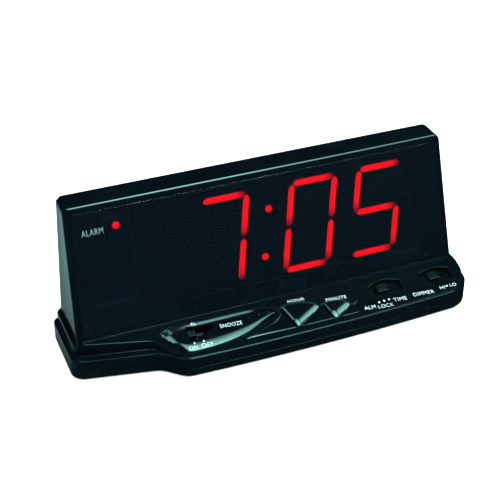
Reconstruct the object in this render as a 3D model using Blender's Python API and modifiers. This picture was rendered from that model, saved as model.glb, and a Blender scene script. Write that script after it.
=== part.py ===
# Digital alarm clock with a large LED display, as an assembly of separate pieces.
# Metres, +Z up. The origin is on the table, under the middle of the clock's box.
# -Y is the front, +X is the right-hand side as the user sees it.
import math

import bmesh
import bpy
from mathutils import Vector

MM = 0.001
GAP = 0.3 * MM                # clearance between neighbouring pieces

# Upright body: a wedge that leans back in front and stands upright behind
FACE_TILT = math.radians(15.8)
FACE_FOOT_Y = -6.2 * MM       # where the display window meets the deck
FACE_FOOT_Z = 18.3 * MM
BODY_TOP = 81.8 * MM
BODY_HALF_FOOT = 100.0 * MM    # half widths at the foot and at the top
BODY_HALF_TOP = 97.3 * MM
BODY_REAR_FOOT = 26.3 * MM
BODY_REAR_TOP = 25.3 * MM
BODY_CORNER = 3.9 * MM         # at the two upper corners and down the two rear edges
BODY_EDGE = 1.2 * MM
SEAM_FOOT = 11.3 * MM         # seam between front housing and rear cover
SEAM_TOP = 17.8 * MM
WALL = 2.2 * MM

# Base: a lower tier, an upper tier set back on it, and a bottom cover under both
BASE_HALF = 103.9 * MM
BASE_REAR = 28.95 * MM
BASE_BOTTOM = 0.6 * MM
COVER_TOP = 5.0 * MM
LOWER_TIER_TOP = 11.2 * MM
UPPER_TIER_TOP = 17.9 * MM
SIDE_LEDGE = 1.9 * MM
REAR_LEDGE = 1.3 * MM
FLOOR = 2.8 * MM              # top of the bottom cover's floor

# Control deck, which slopes down to the front
DECK_SLOPE = math.radians(16.0)
DECK_ORIGIN = (0.0, FACE_FOOT_Y, 17.8 * MM)
DECK_WALL = 2.0 * MM
RECESS_DEPTH = 0.8 * MM
POCKET_FLOOR = -2.8 * MM
BOARD_TOP = -8.2 * MM         # key board's upper face, below the deck
BOARD_THICK = 1.2 * MM
SWITCH_TOP = -4.9 * MM

# Travel of the controls
SNOOZE_TRAVEL = 1.2 * MM
BUTTON_TRAVEL = 1.0 * MM
ALARM_TRAVEL = 4.0 * MM
SET_STEP = 2.8 * MM
DIMMER_TRAVEL = 4.0 * MM
DOOR_TRAVEL = 6.0 * MM

# Window and display, measured up the leaning face
FACE_HEIGHT = (BODY_TOP - FACE_FOOT_Z) / math.cos(FACE_TILT)
RIM_SIDE = 2.6 * MM
RIM_TOP = 3.2 * MM
LENS_THICK = 1.8 * MM
LENS_CORNER = 2.0 * MM

FOOT_RADIUS = 4.2 * MM
FEET = {
    "foot_front_left": (-96.0 * MM, -4.7 * MM),
    "foot_front_right": (93.0 * MM, -18.2 * MM),
    "foot_rear_left": (-97.0 * MM, 22.3 * MM),
    "foot_rear_right": (97.0 * MM, 22.3 * MM),
}
CASE_SCREWS = {
    "case_screw_front_left": (-80.0 * MM, -4.7 * MM),
    "case_screw_front_right": (80.0 * MM, -4.7 * MM),
    "case_screw_rear_left": (-95.8 * MM, 11.8 * MM),
    "case_screw_rear_right": (95.8 * MM, 11.8 * MM),
}
KEY_SCREWS = {
    "key_board_screw_left": (-0.3 * MM, -14.6 * MM),
    "key_board_screw_middle": (42.6 * MM, -10.0 * MM),
    "key_board_screw_right": (73.5 * MM, -10.0 * MM),
}

BLACK = (0.008, 0.014, 0.018)
BOARD_GREEN = (0.02, 0.12, 0.05)
BOARD_TAN = (0.42, 0.27, 0.11)

for thing in list(bpy.data.objects):
    bpy.data.objects.remove(thing, do_unlink=True)

parts = bpy.data.collections.new("alarm_clock")
cutters = bpy.data.collections.new("cutters")
for group in (parts, cutters):
    bpy.context.scene.collection.children.link(group)


# --- Helpers -------------------------------------------------------------------------

def frame(name, location, tilt):
    """An empty that carries everything lying on a tilted plane."""
    empty = bpy.data.objects.new(name, None)
    empty.location = location
    empty.rotation_euler = (tilt, 0.0, 0.0)
    parts.objects.link(empty)
    return empty


def place(name, bm, parent=None, location=(0.0, 0.0, 0.0)):
    """Turn a bmesh into a named object."""
    mesh = bpy.data.meshes.new(name)
    bmesh.ops.recalc_face_normals(bm, faces=bm.faces[:])
    bm.to_mesh(mesh)
    bm.free()
    made = bpy.data.objects.new(name, mesh)
    made.location = location
    made.parent = parent
    parts.objects.link(made)
    return made


def finish(made, colour, roughness, metallic=0.0):
    """Give a piece its own material."""
    material = bpy.data.materials.new(made.name + "_finish")
    material.use_nodes = True
    shader = material.node_tree.nodes["Principled BSDF"]
    shader.inputs["Base Color"].default_value = (*colour, 1.0)
    shader.inputs["Roughness"].default_value = roughness
    shader.inputs["Metallic"].default_value = metallic
    made.data.materials.append(material)
    return made


def as_cutter(made):
    """Keep a helper solid out of the model."""
    parts.objects.unlink(made)
    cutters.objects.link(made)
    made.hide_render = True
    made.display_type = "WIRE"
    return made


def combine(made, other, operation):
    modifier = made.modifiers.new(operation.lower(), "BOOLEAN")
    modifier.operation = operation
    modifier.object = as_cutter(other)
    modifier.solver = "EXACT"


def cut(made, *others):
    for other in others:
        combine(made, other, "DIFFERENCE")


def add(made, *others):
    for other in others:
        combine(made, other, "UNION")


def block(name, low, high, parent=None, edge=0.0, segments=1):
    """A box between two corners, with its origin at its middle."""
    low = Vector(low)
    high = Vector(high)
    bm = bmesh.new()
    bmesh.ops.create_cube(bm, size=1.0)
    bmesh.ops.scale(bm, vec=high - low, verts=bm.verts)
    if edge:
        bmesh.ops.bevel(bm, geom=bm.edges[:], offset=edge, segments=segments,
                        profile=0.5, affect="EDGES")
    return place(name, bm, parent, (low + high) / 2)


def rod(name, radius, low, high, centre, parent=None, segments=20, top=None, lying=False):
    """A cylinder or cone on local Z, or on local Y when lying, from low to high."""
    bm = bmesh.new()
    bmesh.ops.create_cone(bm, cap_ends=True, segments=segments, radius1=radius,
                          radius2=radius if top is None else top, depth=high - low)
    made = place(name, bm, parent, (centre[0], centre[1], (low + high) / 2))
    if lying:
        made.location = (centre[0], (low + high) / 2, centre[1])
        made.rotation_euler = (-math.pi / 2, 0.0, 0.0)
    made.data.shade_smooth()
    made.data.set_sharp_from_angle(angle=math.radians(40))
    return made


def plate(name, outline, low, high, parent=None, rim=0.0, rim_segments=2, under=0.0):
    """A flat outline given thickness; rim and under round its upper and lower edge."""
    flat = bpy.data.curves.new(name, "CURVE")
    flat.dimensions = "2D"
    flat.fill_mode = "BOTH"
    flat.extrude = (high - low) / 2
    spline = flat.splines.new("POLY")
    spline.points.add(len(outline) - 1)
    middle = sum((Vector(point) for point in outline), Vector((0.0, 0.0))) / len(outline)
    for point, corner in zip(spline.points, outline):
        point.co = (*(Vector(corner) - middle), 0.0, 1.0)
    spline.use_cyclic_u = True
    holder = bpy.data.objects.new(name + "_outline", flat)
    parts.objects.link(holder)
    seen = holder.evaluated_get(bpy.context.evaluated_depsgraph_get())
    mesh = bpy.data.meshes.new_from_object(seen)
    bpy.data.objects.remove(holder, do_unlink=True)
    bm = bmesh.new()
    bm.from_mesh(mesh)
    bpy.data.meshes.remove(mesh)
    bmesh.ops.remove_doubles(bm, verts=bm.verts, dist=0.001 * MM)
    bmesh.ops.recalc_face_normals(bm, faces=bm.faces[:])
    for way in (1.0, -1.0):
        caps = [face for face in bm.faces if face.normal.z * way > 0.99]
        bmesh.ops.dissolve_faces(bm, faces=caps)
    half = (high - low) / 2
    for way, width in ((1.0, rim), (-1.0, under)):
        if width:
            edges = [edge for edge in bm.edges
                     if all(vertex.co.z * way > half * 0.999 for vertex in edge.verts)]
            bmesh.ops.bevel(bm, geom=edges, offset=width, segments=rim_segments,
                            profile=0.5, affect="EDGES")
    return place(name, bm, parent, (middle.x, middle.y, (low + high) / 2))


def arc(centre, radius, start, end, steps=4):
    """Points on a circle, with angles in degrees."""
    points = []
    for index in range(steps + 1):
        angle = math.radians(start + (end - start) * index / steps)
        points.append((centre[0] + radius * math.cos(angle),
                       centre[1] + radius * math.sin(angle)))
    return points


def bend(first, leave, arrive, last, steps=6):
    """Points on a smooth curve between two ends with two handles, the last left out."""
    points = []
    for index in range(steps):
        t = index / steps
        weights = ((1 - t) ** 3, 3 * t * (1 - t) ** 2, 3 * t * t * (1 - t), t ** 3)
        corners = (first, leave, arrive, last)
        points.append(tuple(sum(weight * corner[axis] for weight, corner
                                in zip(weights, corners)) for axis in (0, 1)))
    return points


def grow(outline, distance):
    """Move a counter-clockwise outline outwards, or inwards when negative."""
    moved = []
    count = len(outline)
    for index in range(count):
        before = Vector(outline[index - 1])
        here = Vector(outline[index])
        after = Vector(outline[(index + 1) % count])
        first = (here - before).normalized()
        second = (after - here).normalized()
        normal = Vector((first.y + second.y, -first.x - second.x)).normalized()
        stretch = 1.0 / max(normal.dot(Vector((second.y, -second.x))), 0.5)
        moved.append(tuple(here + normal * distance * stretch))
    return moved


def scaled(points):
    """Outline points given in millimetres."""
    return [(x * MM, y * MM) for x, y in points]


# --- Outlines ------------------------------------------------------------------------

def front_bow(x):
    """Front edge of the base under the control deck, in millimetres."""
    return -28.95 + 0.00035 * (x - 4.0) ** 2


FRONT_CORNER = 14.5            # at the front right of the base, in millimetres


def base_outline(half, rear, left_front, step_from, step_to, bow_inset):
    """Base seen from above, counter-clockwise from the rear right, in millimetres."""
    points = arc((half - 4.5, rear - 4.5), 4.5, 0, 90)
    points += arc((-half + 4.5, rear - 4.5), 4.5, 90, 180)
    points += arc((-half + 7.0, left_front + 8.0), 7.0, 180, 261)
    points += bend(step_from, (step_from[0] + 6.5, step_from[1] - 1.1),
                   (step_to[0] - 6.5, step_to[1] + 0.4), step_to, 8)
    reach = half - FRONT_CORNER
    for index in range(9):
        x = step_to[0] + (reach - step_to[0]) * index / 8
        points.append((x, front_bow(x) + bow_inset))
    centre_y = front_bow(reach) + bow_inset + FRONT_CORNER
    points += arc((reach, centre_y), FRONT_CORNER, -86, 0, 6)
    return scaled(points)


LOWER_OUTLINE = base_outline(BASE_HALF / MM, BASE_REAR / MM, -12.4,
                             (-66.0, -17.7), (-50.0, -27.9), 0.0)
UPPER_OUTLINE = base_outline((BASE_HALF - SIDE_LEDGE) / MM, (BASE_REAR - REAR_LEDGE) / MM,
                             -8.2, (-68.0, -12.9), (-51.0, -27.3), 0.5)

# Outlines on the deck: x to the right, y up the slope, in millimetres from its origin
SNOOZE_OUTLINE = scaled(
    bend((-0.9, -8.0), (-1.6, -5.0), (-8.0, -3.4), (-19.0, -3.3), 5)
    + [(-19.0, -3.3)]
    + bend((-55.5, -3.3), (-58.0, -3.3), (-60.0, -4.6), (-60.7, -6.2), 3)
    + bend((-60.7, -6.2), (-60.9, -7.2), (-60.0, -8.2), (-59.2, -9.2), 2)
    + bend((-54.6, -16.0), (-52.8, -18.6), (-51.0, -19.1), (-47.0, -19.1), 4)
    + bend((-47.0, -19.1), (-26.0, -19.3), (-12.0, -14.6), (-0.9, -8.0), 8))
ALARM_HOLE = scaled([(-48.2, -4.6), (-48.2, -12.7), (-46.8, -13.4), (-45.0, -13.2),
                     (-36.6, -9.2), (-34.6, -7.8), (-34.8, -6.6)])
HOUR_OUTLINE = scaled(
    bend((20.6, -11.2), (16.6, -6.2), (8.4, -5.0), (1.6, -6.4), 6)
    + bend((1.6, -6.4), (1.8, -7.2), (4.2, -16.0), (4.9, -18.2), 2)
    + arc((6.9, -17.8), 1.9, 200, 300, 4))
MINUTE_OUTLINE = scaled(
    bend((36.4, -14.2), (33.4, -10.2), (28.4, -9.0), (22.6, -10.0), 5)
    + bend((22.6, -10.0), (22.8, -10.6), (24.6, -17.4), (25.0, -18.4), 2)
    + arc((26.9, -18.3), 1.7, 200, 300, 4))
RECESS_OUTLINE = scaled(
    bend((40.8, -9.0), (36.0, -3.4), (8.0, -2.4), (1.4, -4.0), 5)
    + bend((1.4, -4.0), (1.0, -8.0), (-2.0, -11.0), (-6.0, -14.2), 3)
    + [(-6.0, -14.2), (-21.6, -19.7), (0.0, -19.9), (41.3, -19.9)])
SET_POCKET = scaled(arc((58.0, -22.4), 18.4, 61, 119, 6) + [(49.0, -13.0), (67.0, -13.0)])
DIMMER_POCKET = scaled(arc((87.0, -22.4), 18.4, 64, 116, 6) + [(78.9, -13.0), (95.1, -13.0)])


# --- Solids shared by the shells -------------------------------------------------------

def wedge(name, bottom, top, halves, fronts, rears, corner=0.0, edge=0.0):
    """A solid between two heights; halves, fronts and rears give (foot, top) values."""
    bm = bmesh.new()
    bmesh.ops.create_cube(bm, size=2.0)
    for vertex in bm.verts:
        upper = 1 if vertex.co.z > 0 else 0
        depth = fronts[upper] if vertex.co.y < 0 else rears[upper]
        side = math.copysign(halves[upper], vertex.co.x)
        vertex.co = (side, depth, top if upper else bottom)
    rounded = []
    for line in bm.edges:
        middle = (line.verts[0].co + line.verts[1].co) / 2
        height = abs(line.verts[0].co.z - line.verts[1].co.z)
        length = abs(line.verts[0].co.y - line.verts[1].co.y)
        if (height > length and middle.y > min(rears) - 1 * MM) or (
                height < 0.1 * MM < length and middle.z > (bottom + top) / 2):
            rounded.append(line)
    if corner:
        bmesh.ops.bevel(bm, geom=rounded, offset=corner, segments=5, profile=0.5,
                        affect="EDGES")
    if edge:
        bmesh.ops.recalc_face_normals(bm, faces=bm.faces[:])
        sharp = [line for line in bm.edges
                 if line.calc_face_angle(0.0) > math.radians(60)
                 and any(vertex.co.z > bottom + 0.1 * MM for vertex in line.verts)]
        bmesh.ops.bevel(bm, geom=sharp, offset=edge, segments=2, profile=0.5, affect="EDGES")
    return place(name, bm)


def face_y(height):
    """Front of the leaning face at a height."""
    return FACE_FOOT_Y + (height - FACE_FOOT_Z) * math.tan(FACE_TILT)


def rear_y(height):
    return BODY_REAR_FOOT + (BODY_REAR_TOP - BODY_REAR_FOOT) * body_share(height)


def body_share(height):
    return (height - FACE_FOOT_Z) / (BODY_TOP - FACE_FOOT_Z)


def half_width(height):
    return BODY_HALF_FOOT + (BODY_HALF_TOP - BODY_HALF_FOOT) * body_share(height)


def seam_y(height):
    return SEAM_FOOT + (SEAM_TOP - SEAM_FOOT) * body_share(height)


def body_solid(name, bottom, inset=0.0):
    """The upright body, or its hollow when it is inset."""
    top = BODY_TOP - inset
    corner = max(BODY_CORNER - inset, 1.5 * MM)
    front_inset = inset / math.cos(FACE_TILT)
    return wedge(name, bottom, top,
                 (half_width(bottom) - inset, half_width(top) - inset),
                 (face_y(bottom) + front_inset, face_y(top) + front_inset),
                 (rear_y(bottom) - inset, rear_y(top) - inset),
                 corner, 0.0 if inset else BODY_EDGE)


def seam_space(name, bottom, behind):
    """Everything behind the seam, or everything in front of it."""
    far = 60 * MM
    top = BODY_TOP + 5 * MM
    shift = -GAP / 2 if behind else GAP / 2
    line = (seam_y(bottom) + shift, seam_y(top) + shift)
    fronts, rears = (line, (far, far)) if behind else ((-far, -far), line)
    return wedge(name, bottom, top, (130 * MM, 130 * MM), fronts, rears)


deck = frame("deck_frame", DECK_ORIGIN, DECK_SLOPE)
face = frame("face_frame", (0.0, FACE_FOOT_Y, FACE_FOOT_Z), -FACE_TILT)


def above_deck(name, offset):
    """The space above the sloping deck, moved along its normal by offset."""
    return block(name, (-130 * MM, -60 * MM, offset), (130 * MM, 0.0, 60 * MM), deck)


def window_outline(inset):
    """Window opening on the leaning face, x across and y up, counter-clockwise."""
    foot = BODY_HALF_FOOT - RIM_SIDE - inset
    top = BODY_HALF_TOP - RIM_SIDE - inset
    head = FACE_HEIGHT - RIM_TOP - inset
    low = 0.4 * MM + inset
    r = LENS_CORNER
    return ([(-foot, low), (foot, low)] + arc((top - r, head - r), r, 0, 90)
            + arc((-top + r, head - r), r, 90, 180))


def on_face(name, outline, near, far):
    """A plate parallel to the face; near and far are depths behind its surface."""
    made = plate(name, outline, -far, -near, face)
    made.rotation_euler = (math.pi / 2, 0.0, 0.0)
    x, y, z = made.location
    made.location = (x, -z, y)
    return made


# --- Shells ------------------------------------------------------------------------------

def front_housing():
    """Front half of the upright body, both tiers of the base and the control deck."""
    upper = plate("upper_tier", UPPER_OUTLINE, 8 * MM, UPPER_TIER_TOP, rim=1.4 * MM)
    cut(upper, above_deck("above_deck", 0.0))
    body = body_solid("upright_body", FACE_FOOT_Z - 1.6 * MM)
    cut(body, seam_space("behind_seam", UPPER_TIER_TOP - 0.5 * MM, True))
    made = plate("front_housing", LOWER_OUTLINE, COVER_TOP + GAP, LOWER_TIER_TOP, rim=0.8 * MM)
    add(made, upper, body)

    hollow = plate("base_hollow", grow(UPPER_OUTLINE, -WALL), 4 * MM, UPPER_TIER_TOP - WALL)
    cut(hollow, above_deck("above_deck_wall", -DECK_WALL))
    cut(made, hollow)
    cut(made, plate("tier_hollow", grow(LOWER_OUTLINE, -WALL), 4 * MM, LOWER_TIER_TOP - WALL))
    cut(made, body_solid("body_hollow", 15 * MM, WALL))

    add(made, block("set_pocket_bed", (46.8 * MM, -15.2 * MM, -4.1 * MM),
                    (69.2 * MM, -2.2 * MM, -0.9 * MM), deck))
    add(made, block("dimmer_pocket_bed", (76.8 * MM, -15.2 * MM, -4.1 * MM),
                    (97.4 * MM, -2.2 * MM, -0.9 * MM), deck))
    for name, (x, y) in KEY_SCREWS.items():
        add(made, rod(name + "_boss", 2.3 * MM, BOARD_TOP + GAP, -1.0 * MM, (x, y), deck, 12))
    for name, (x, y) in CASE_SCREWS.items():
        add(made, rod(name + "_boss", 3.1 * MM, COVER_TOP + GAP, 16.6 * MM, (x, y), segments=14))

    cut(made, on_face("lens_seat", window_outline(0.0), -3 * MM, LENS_THICK + GAP))
    cut(made, on_face("window_opening", window_outline(1.6 * MM), -3 * MM, 8 * MM))
    cut(made, plate("button_recess", RECESS_OUTLINE, -RECESS_DEPTH, 3 * MM, deck))
    deep = -6 * MM
    for name, outline in (("snooze", SNOOZE_OUTLINE), ("hour", HOUR_OUTLINE),
                          ("minute", MINUTE_OUTLINE)):
        cut(made, plate(name + "_opening", grow(outline, 0.35 * MM), deep, 4 * MM, deck))
    for name, outline in (("set", SET_POCKET), ("dimmer", DIMMER_POCKET)):
        cut(made, plate(name + "_pocket", outline, POCKET_FLOOR, 4 * MM, deck))
    for name, x, length in (("set", 56.5, 9.0), ("dimmer", 88.0, 7.6)):
        cut(made, block(name + "_slot", ((x - length / 2) * MM, -9.7 * MM, deep),
                        ((x + length / 2) * MM, -6.7 * MM, 0.0), deck))
    for name, (x, y) in KEY_SCREWS.items():
        cut(made, rod(name + "_pilot", 1.2 * MM, -9 * MM, -3 * MM, (x, y), deck, 10))
    for name, (x, y) in CASE_SCREWS.items():
        cut(made, rod(name + "_pilot", 1.7 * MM, 4 * MM, 12 * MM, (x, y), segments=10))
    return finish(made, BLACK, 0.12)


def rear_cover():
    """Rear half of the upright body, with vents, sound holes and the cord outlet."""
    made = body_solid("rear_cover", UPPER_TIER_TOP + GAP)
    cut(made, seam_space("before_seam", 5 * MM, False))
    cut(made, body_solid("rear_hollow", 10 * MM, WALL))
    for row, height in enumerate((60.0, 69.0)):
        for index in range(8):
            x = (-42.0 + 12.0 * index) * MM
            cut(made, block("vent_%d_%d" % (row, index), (x - 4 * MM, 15 * MM, height * MM),
                            (x + 4 * MM, 40 * MM, (height + 2.0) * MM)))
    for index in range(7):
        angle = math.radians(60 * index)
        reach = 0.0 if index == 6 else 5.0 * MM
        spot = (-30 * MM + reach * math.cos(angle), 42 * MM + reach * math.sin(angle))
        cut(made, rod("sound_hole_%d" % index, 1.2 * MM, 15 * MM, 40 * MM, spot,
                      segments=10, lying=True))
    cut(made, rod("cord_outlet", 4.9 * MM, 15 * MM, 40 * MM, (52 * MM, 26 * MM), lying=True))
    return finish(made, BLACK, 0.16)


def bottom_cover():
    """Shallow pan that closes the base and frames the battery bay."""
    made = plate("bottom_cover", LOWER_OUTLINE, BASE_BOTTOM, COVER_TOP, under=0.7 * MM)
    cut(made, plate("cover_hollow", grow(LOWER_OUTLINE, -WALL), FLOOR, 8 * MM))
    add(made, block("bay_frame", (-93.3 * MM, 3.0 * MM, 2.0 * MM),
                    (-33.4 * MM, 25.0 * MM, 4.3 * MM)))
    cut(made, block("bay_opening", (-91.3 * MM, 4.8 * MM, 0.0), (-42.2 * MM, 23.0 * MM, 8 * MM)))
    cut(made, block("door_track", (-91.9 * MM, 4.2 * MM, 0.0), (-35.3 * MM, 23.7 * MM, FLOOR)))
    for name, (x, y) in FEET.items():
        cut(made, rod(name + "_seat", FOOT_RADIUS + GAP, -1 * MM, 1.7 * MM, (x, y), segments=20))
    for name, (x, y) in CASE_SCREWS.items():
        cut(made, rod(name + "_hole", 1.9 * MM, 0.0, 8 * MM, (x, y), segments=12))
        cut(made, rod(name + "_counterbore", 3.4 * MM, -1 * MM, 2.2 * MM, (x, y), segments=16))
    for index in range(9):
        x = (-16.0 + 8.0 * index) * MM
        cut(made, block("floor_vent_%d" % index, (x - 1.2 * MM, 3 * MM, -1 * MM),
                        (x + 1.2 * MM, 17 * MM, 8 * MM)))
    return finish(made, BLACK, 0.3)


def battery_door():
    """Flat door that slides sideways under the battery bay."""
    made = block("battery_door", (-91.5 * MM, 4.6 * MM, 0.9 * MM),
                 (-41.6 * MM, 23.3 * MM, 2.5 * MM), edge=0.2 * MM)
    for index in range(4):
        x = (-51.0 + 2.2 * index) * MM
        cut(made, block("door_groove_%d" % index, (x - 0.5 * MM, 9 * MM, 0.0),
                        (x + 0.5 * MM, 19 * MM, 1.5 * MM)))
    return finish(made, BLACK, 0.35)


def display_lens():
    """Smoked window flush with the leaning face."""
    made = on_face("display_lens", window_outline(GAP), 0.0, LENS_THICK)
    return finish(made, (0.01, 0.01, 0.012), 0.05)


# --- Controls ----------------------------------------------------------------------------

def snooze_bar():
    made = plate("snooze_bar", SNOOZE_OUTLINE, -2.0 * MM, 1.7 * MM, deck, rim=1.1 * MM)
    add(made, rod("snooze_stem", 2.0 * MM, -3.4 * MM, 0.0, (-22 * MM, -11 * MM), deck, 16))
    cut(made, plate("alarm_hole", ALARM_HOLE[::-1], -6 * MM, 5 * MM, deck))
    return finish(made, BLACK, 0.1)


def push_button(name, outline, spot):
    """Triangular cap with a flange that keeps it in the deck and a stem below."""
    made = plate(name, outline, -3.0 * MM, 0.9 * MM, deck, rim=0.7 * MM)
    add(made, plate(name + "_flange", grow(outline, 0.9 * MM), -3.0 * MM, -2.35 * MM, deck))
    add(made, rod(name + "_stem", 1.6 * MM, -3.4 * MM, -1 * MM, spot, deck, 14))
    return finish(made, BLACK, 0.1)


def slide_knob(name, spot, size, low, high):
    """Thumb block of a slide switch, with a stem into the switch below."""
    x, y = spot
    width, depth = size
    made = block(name, (x - width / 2, y - depth / 2, low), (x + width / 2, y + depth / 2, high),
                 deck, edge=0.35 * MM)
    stem = 0.8 * MM
    add(made, block(name + "_stem", (x - stem, y - stem, -6.0 * MM),
                    (x + stem, y + stem, low + 0.5 * MM), deck))
    for side in (-1.0, 0.0, 1.0):
        middle = x + side * 1.1 * MM
        cut(made, block(name + "_grip_%d" % (side + 1), (middle - 0.25 * MM, y - depth, high - 0.4 * MM),
                        (middle + 0.25 * MM, y + depth, high + 1 * MM), deck))
    return finish(made, BLACK, 0.3)


def tact_switch(name, spot):
    """Push switch on the key board: a can with a moving plunger in it."""
    x, y = spot
    can = block(name + "_switch", (x - 3 * MM, y - 3 * MM, BOARD_TOP + GAP),
                (x + 3 * MM, y + 3 * MM, SWITCH_TOP), deck)
    cut(can, rod(name + "_switch_bore", 2.0 * MM, -7.5 * MM, 0.0, spot, deck, 16))
    finish(can, (0.05, 0.05, 0.05), 0.5)
    plunger = rod(name + "_plunger", 1.6 * MM, -6.0 * MM, -3.7 * MM, spot, deck, 16)
    finish(plunger, (0.02, 0.02, 0.02), 0.4)


def slide_switch(name, spot, throw):
    """Slide switch can with a slot for the knob's stem."""
    x, y = spot
    half = throw / 2 + 3.2 * MM
    can = block(name, (x - half, y - 2.6 * MM, BOARD_TOP + GAP),
                (x + half, y + 2.6 * MM, SWITCH_TOP), deck)
    slot = throw / 2 + 1.4 * MM
    cut(can, block(name + "_slot", (x - slot, y - 1.2 * MM, -6.6 * MM),
                   (x + slot, y + 1.2 * MM, 0.0), deck))
    return finish(can, (0.55, 0.56, 0.58), 0.35, 0.9)


# --- Electronics -------------------------------------------------------------------------

def key_board():
    made = block("key_board", (-50.2 * MM, -17.3 * MM, BOARD_TOP - BOARD_THICK),
                 (97.6 * MM, -5.0 * MM, BOARD_TOP), deck)
    for name, (x, y) in KEY_SCREWS.items():
        cut(made, rod(name + "_hole", 1.3 * MM, -12 * MM, -7 * MM, (x, y), deck, 12))
    return finish(made, BOARD_TAN, 0.5)


def in_face(name, low, high, edge=0.0):
    """A block behind the face: x across, y depth behind the surface, z up the face."""
    low = [value * MM for value in low]
    high = [value * MM for value in high]
    return block(name, low, high, face, edge)


def led_display():
    """Reflector block of the display, with its face sheet and the alarm lamp beside it."""
    made = in_face("led_display", (-66, 2.7, 9.5), (76, 7.0, 60.6))
    for name, x in (("left", -60.0), ("right", 73.0)):
        cut(made, rod("display_hole_" + name, 1.3 * MM, 0.0, 12 * MM, (x * MM, 56 * MM),
                      face, 10, lying=True))
    finish(made, (0.6, 0.6, 0.58), 0.6)
    finish(in_face("display_sheet", (-66, 2.1, 9.5), (76, 2.4, 60.6)), (0.06, 0.01, 0.01), 0.4)
    lamp = rod("alarm_lamp", 1.7 * MM, 2.1 * MM, 7.0 * MM, (-74 * MM, 53.6 * MM), face, 16,
               lying=True)
    finish(lamp, (0.6, 0.02, 0.01), 0.2)


def main_board():
    made = in_face("main_board", (-78, 7.4, 31), (78, 9.0, 60))
    add(made, in_face("main_board_tail", (-38, 7.4, 7), (60, 9.0, 32)))
    for name, x in (("left", -60.0), ("right", 73.0)):
        cut(made, rod("board_hole_" + name, 1.3 * MM, 0.0, 12 * MM, (x * MM, 56 * MM),
                      face, 10, lying=True))
    finish(made, BOARD_GREEN, 0.45)
    finish(in_face("clock_chip", (-10, 9.3, 24), (42, 13.0, 38), 0.3 * MM),
           (0.02, 0.02, 0.02), 0.5)
    finish(rod("filter_capacitor", 5 * MM, 9.3 * MM, 19.3 * MM, (50 * MM, 14 * MM), face, 20,
               lying=True), (0.03, 0.05, 0.12), 0.35)
    finish(rod("buzzer", 8 * MM, 9.3 * MM, 14.3 * MM, (-26 * MM, 22 * MM), face, 24,
               lying=True), (0.015, 0.015, 0.015), 0.4)


def screw(name, radius, head, head_low, shank_top, spot, parent=None):
    """Screw driven upwards: a head below and a shank above it."""
    made = rod(name, head, head_low, head_low + 1.2 * MM, spot, parent, 14)
    add(made, rod(name + "_shank", radius, head_low + 0.6 * MM, shank_top, spot, parent, 12))
    cut(made, block(name + "_drive", (spot[0] - head, spot[1] - 0.3 * MM, head_low - 1 * MM),
                    (spot[0] + head, spot[1] + 0.3 * MM, head_low + 0.5 * MM), parent))
    return finish(made, (0.6, 0.6, 0.6), 0.3, 1.0)


def board_screw(name, x):
    """Screw through the main board into the display block, driven from behind."""
    spot = (x * MM, 56 * MM)
    made = rod(name, 2.2 * MM, 9.3 * MM, 10.5 * MM, spot, face, 14, lying=True)
    add(made, rod(name + "_shank", 0.9 * MM, 3.6 * MM, 9.8 * MM, spot, face, 10, lying=True))
    return finish(made, (0.6, 0.6, 0.6), 0.3, 1.0)


def transformer():
    """Small mains transformer: a laminated core and the winding on its middle leg."""
    x, y = 78 * MM, 13.0 * MM
    core = block("transformer_core", (x - 13 * MM, y - 5.5 * MM, 3.4 * MM),
                 (x + 13 * MM, y + 5.5 * MM, 25.4 * MM))
    for name, side in (("left", -1), ("right", 1)):
        middle = x + side * 6.5 * MM
        cut(core, block("core_window_" + name, (middle - 3 * MM, y - 9 * MM, 8.4 * MM),
                        (middle + 3 * MM, y + 9 * MM, 20.4 * MM)))
    finish(core, (0.2, 0.2, 0.21), 0.45, 0.8)
    winding = block("transformer_winding", (x - 8.6 * MM, y - 9.5 * MM, 8.8 * MM),
                    (x + 8.6 * MM, y + 9.5 * MM, 20.0 * MM), edge=1.2 * MM)
    cut(winding, block("winding_bore", (x - 3.8 * MM, y - 5.8 * MM, 0.0),
                       (x + 3.8 * MM, y + 5.8 * MM, 30 * MM)))
    finish(winding, (0.45, 0.33, 0.08), 0.5)


def battery():
    """Nine-volt backup battery, standing in its bay, and the snap on its end."""
    made = block("backup_battery", (-91.0 * MM, 5.1 * MM, 3.3 * MM),
                 (-44.5 * MM, 22.6 * MM, 29.8 * MM), edge=1.5 * MM)
    snap = block("battery_snap", (-44.2 * MM, 7.0 * MM, 8.0 * MM),
                 (-41.0 * MM, 20.6 * MM, 25.0 * MM), edge=0.5 * MM)
    for name, height in (("lower", 10.6), ("upper", 22.4)):
        stud = rod(name + "_stud", 2.4 * MM, -1 * MM, 2.2 * MM, (0.0, 0.0), segments=14)
        socket = rod(name + "_socket", 2.8 * MM, -2 * MM, 2.6 * MM, (0.0, 0.0), segments=14)
        for made_rod in (stud, socket):
            made_rod.rotation_euler = (0.0, math.pi / 2, 0.0)
            made_rod.location = (-44.5 * MM + made_rod.location.z, 13.8 * MM, height * MM)
        add(made, stud)
        cut(snap, socket)
    finish(made, (0.1, 0.1, 0.11), 0.35, 0.3)
    finish(snap, (0.015, 0.015, 0.015), 0.5)


def ribbon_cable():
    """Flat cable from the key board up to the main board."""
    path = [(-1.6, 7.2), (1.0, 7.6), (2.6, 9.4), (3.2, 12.0), (3.6, 15.0), (4.6, 18.6)]
    low, high = 8 * MM, 22 * MM
    bm = bmesh.new()
    rows = [[bm.verts.new((x, y * MM, z * MM)) for x in (low, high)] for y, z in path]
    for lower, upper in zip(rows, rows[1:]):
        bm.faces.new((lower[0], lower[1], upper[1], upper[0]))
    made = place("ribbon_cable", bm)
    shell = made.modifiers.new("thickness", "SOLIDIFY")
    shell.thickness = 0.6 * MM
    shell.offset = 0.0
    return finish(made, (0.5, 0.5, 0.5), 0.5)


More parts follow.
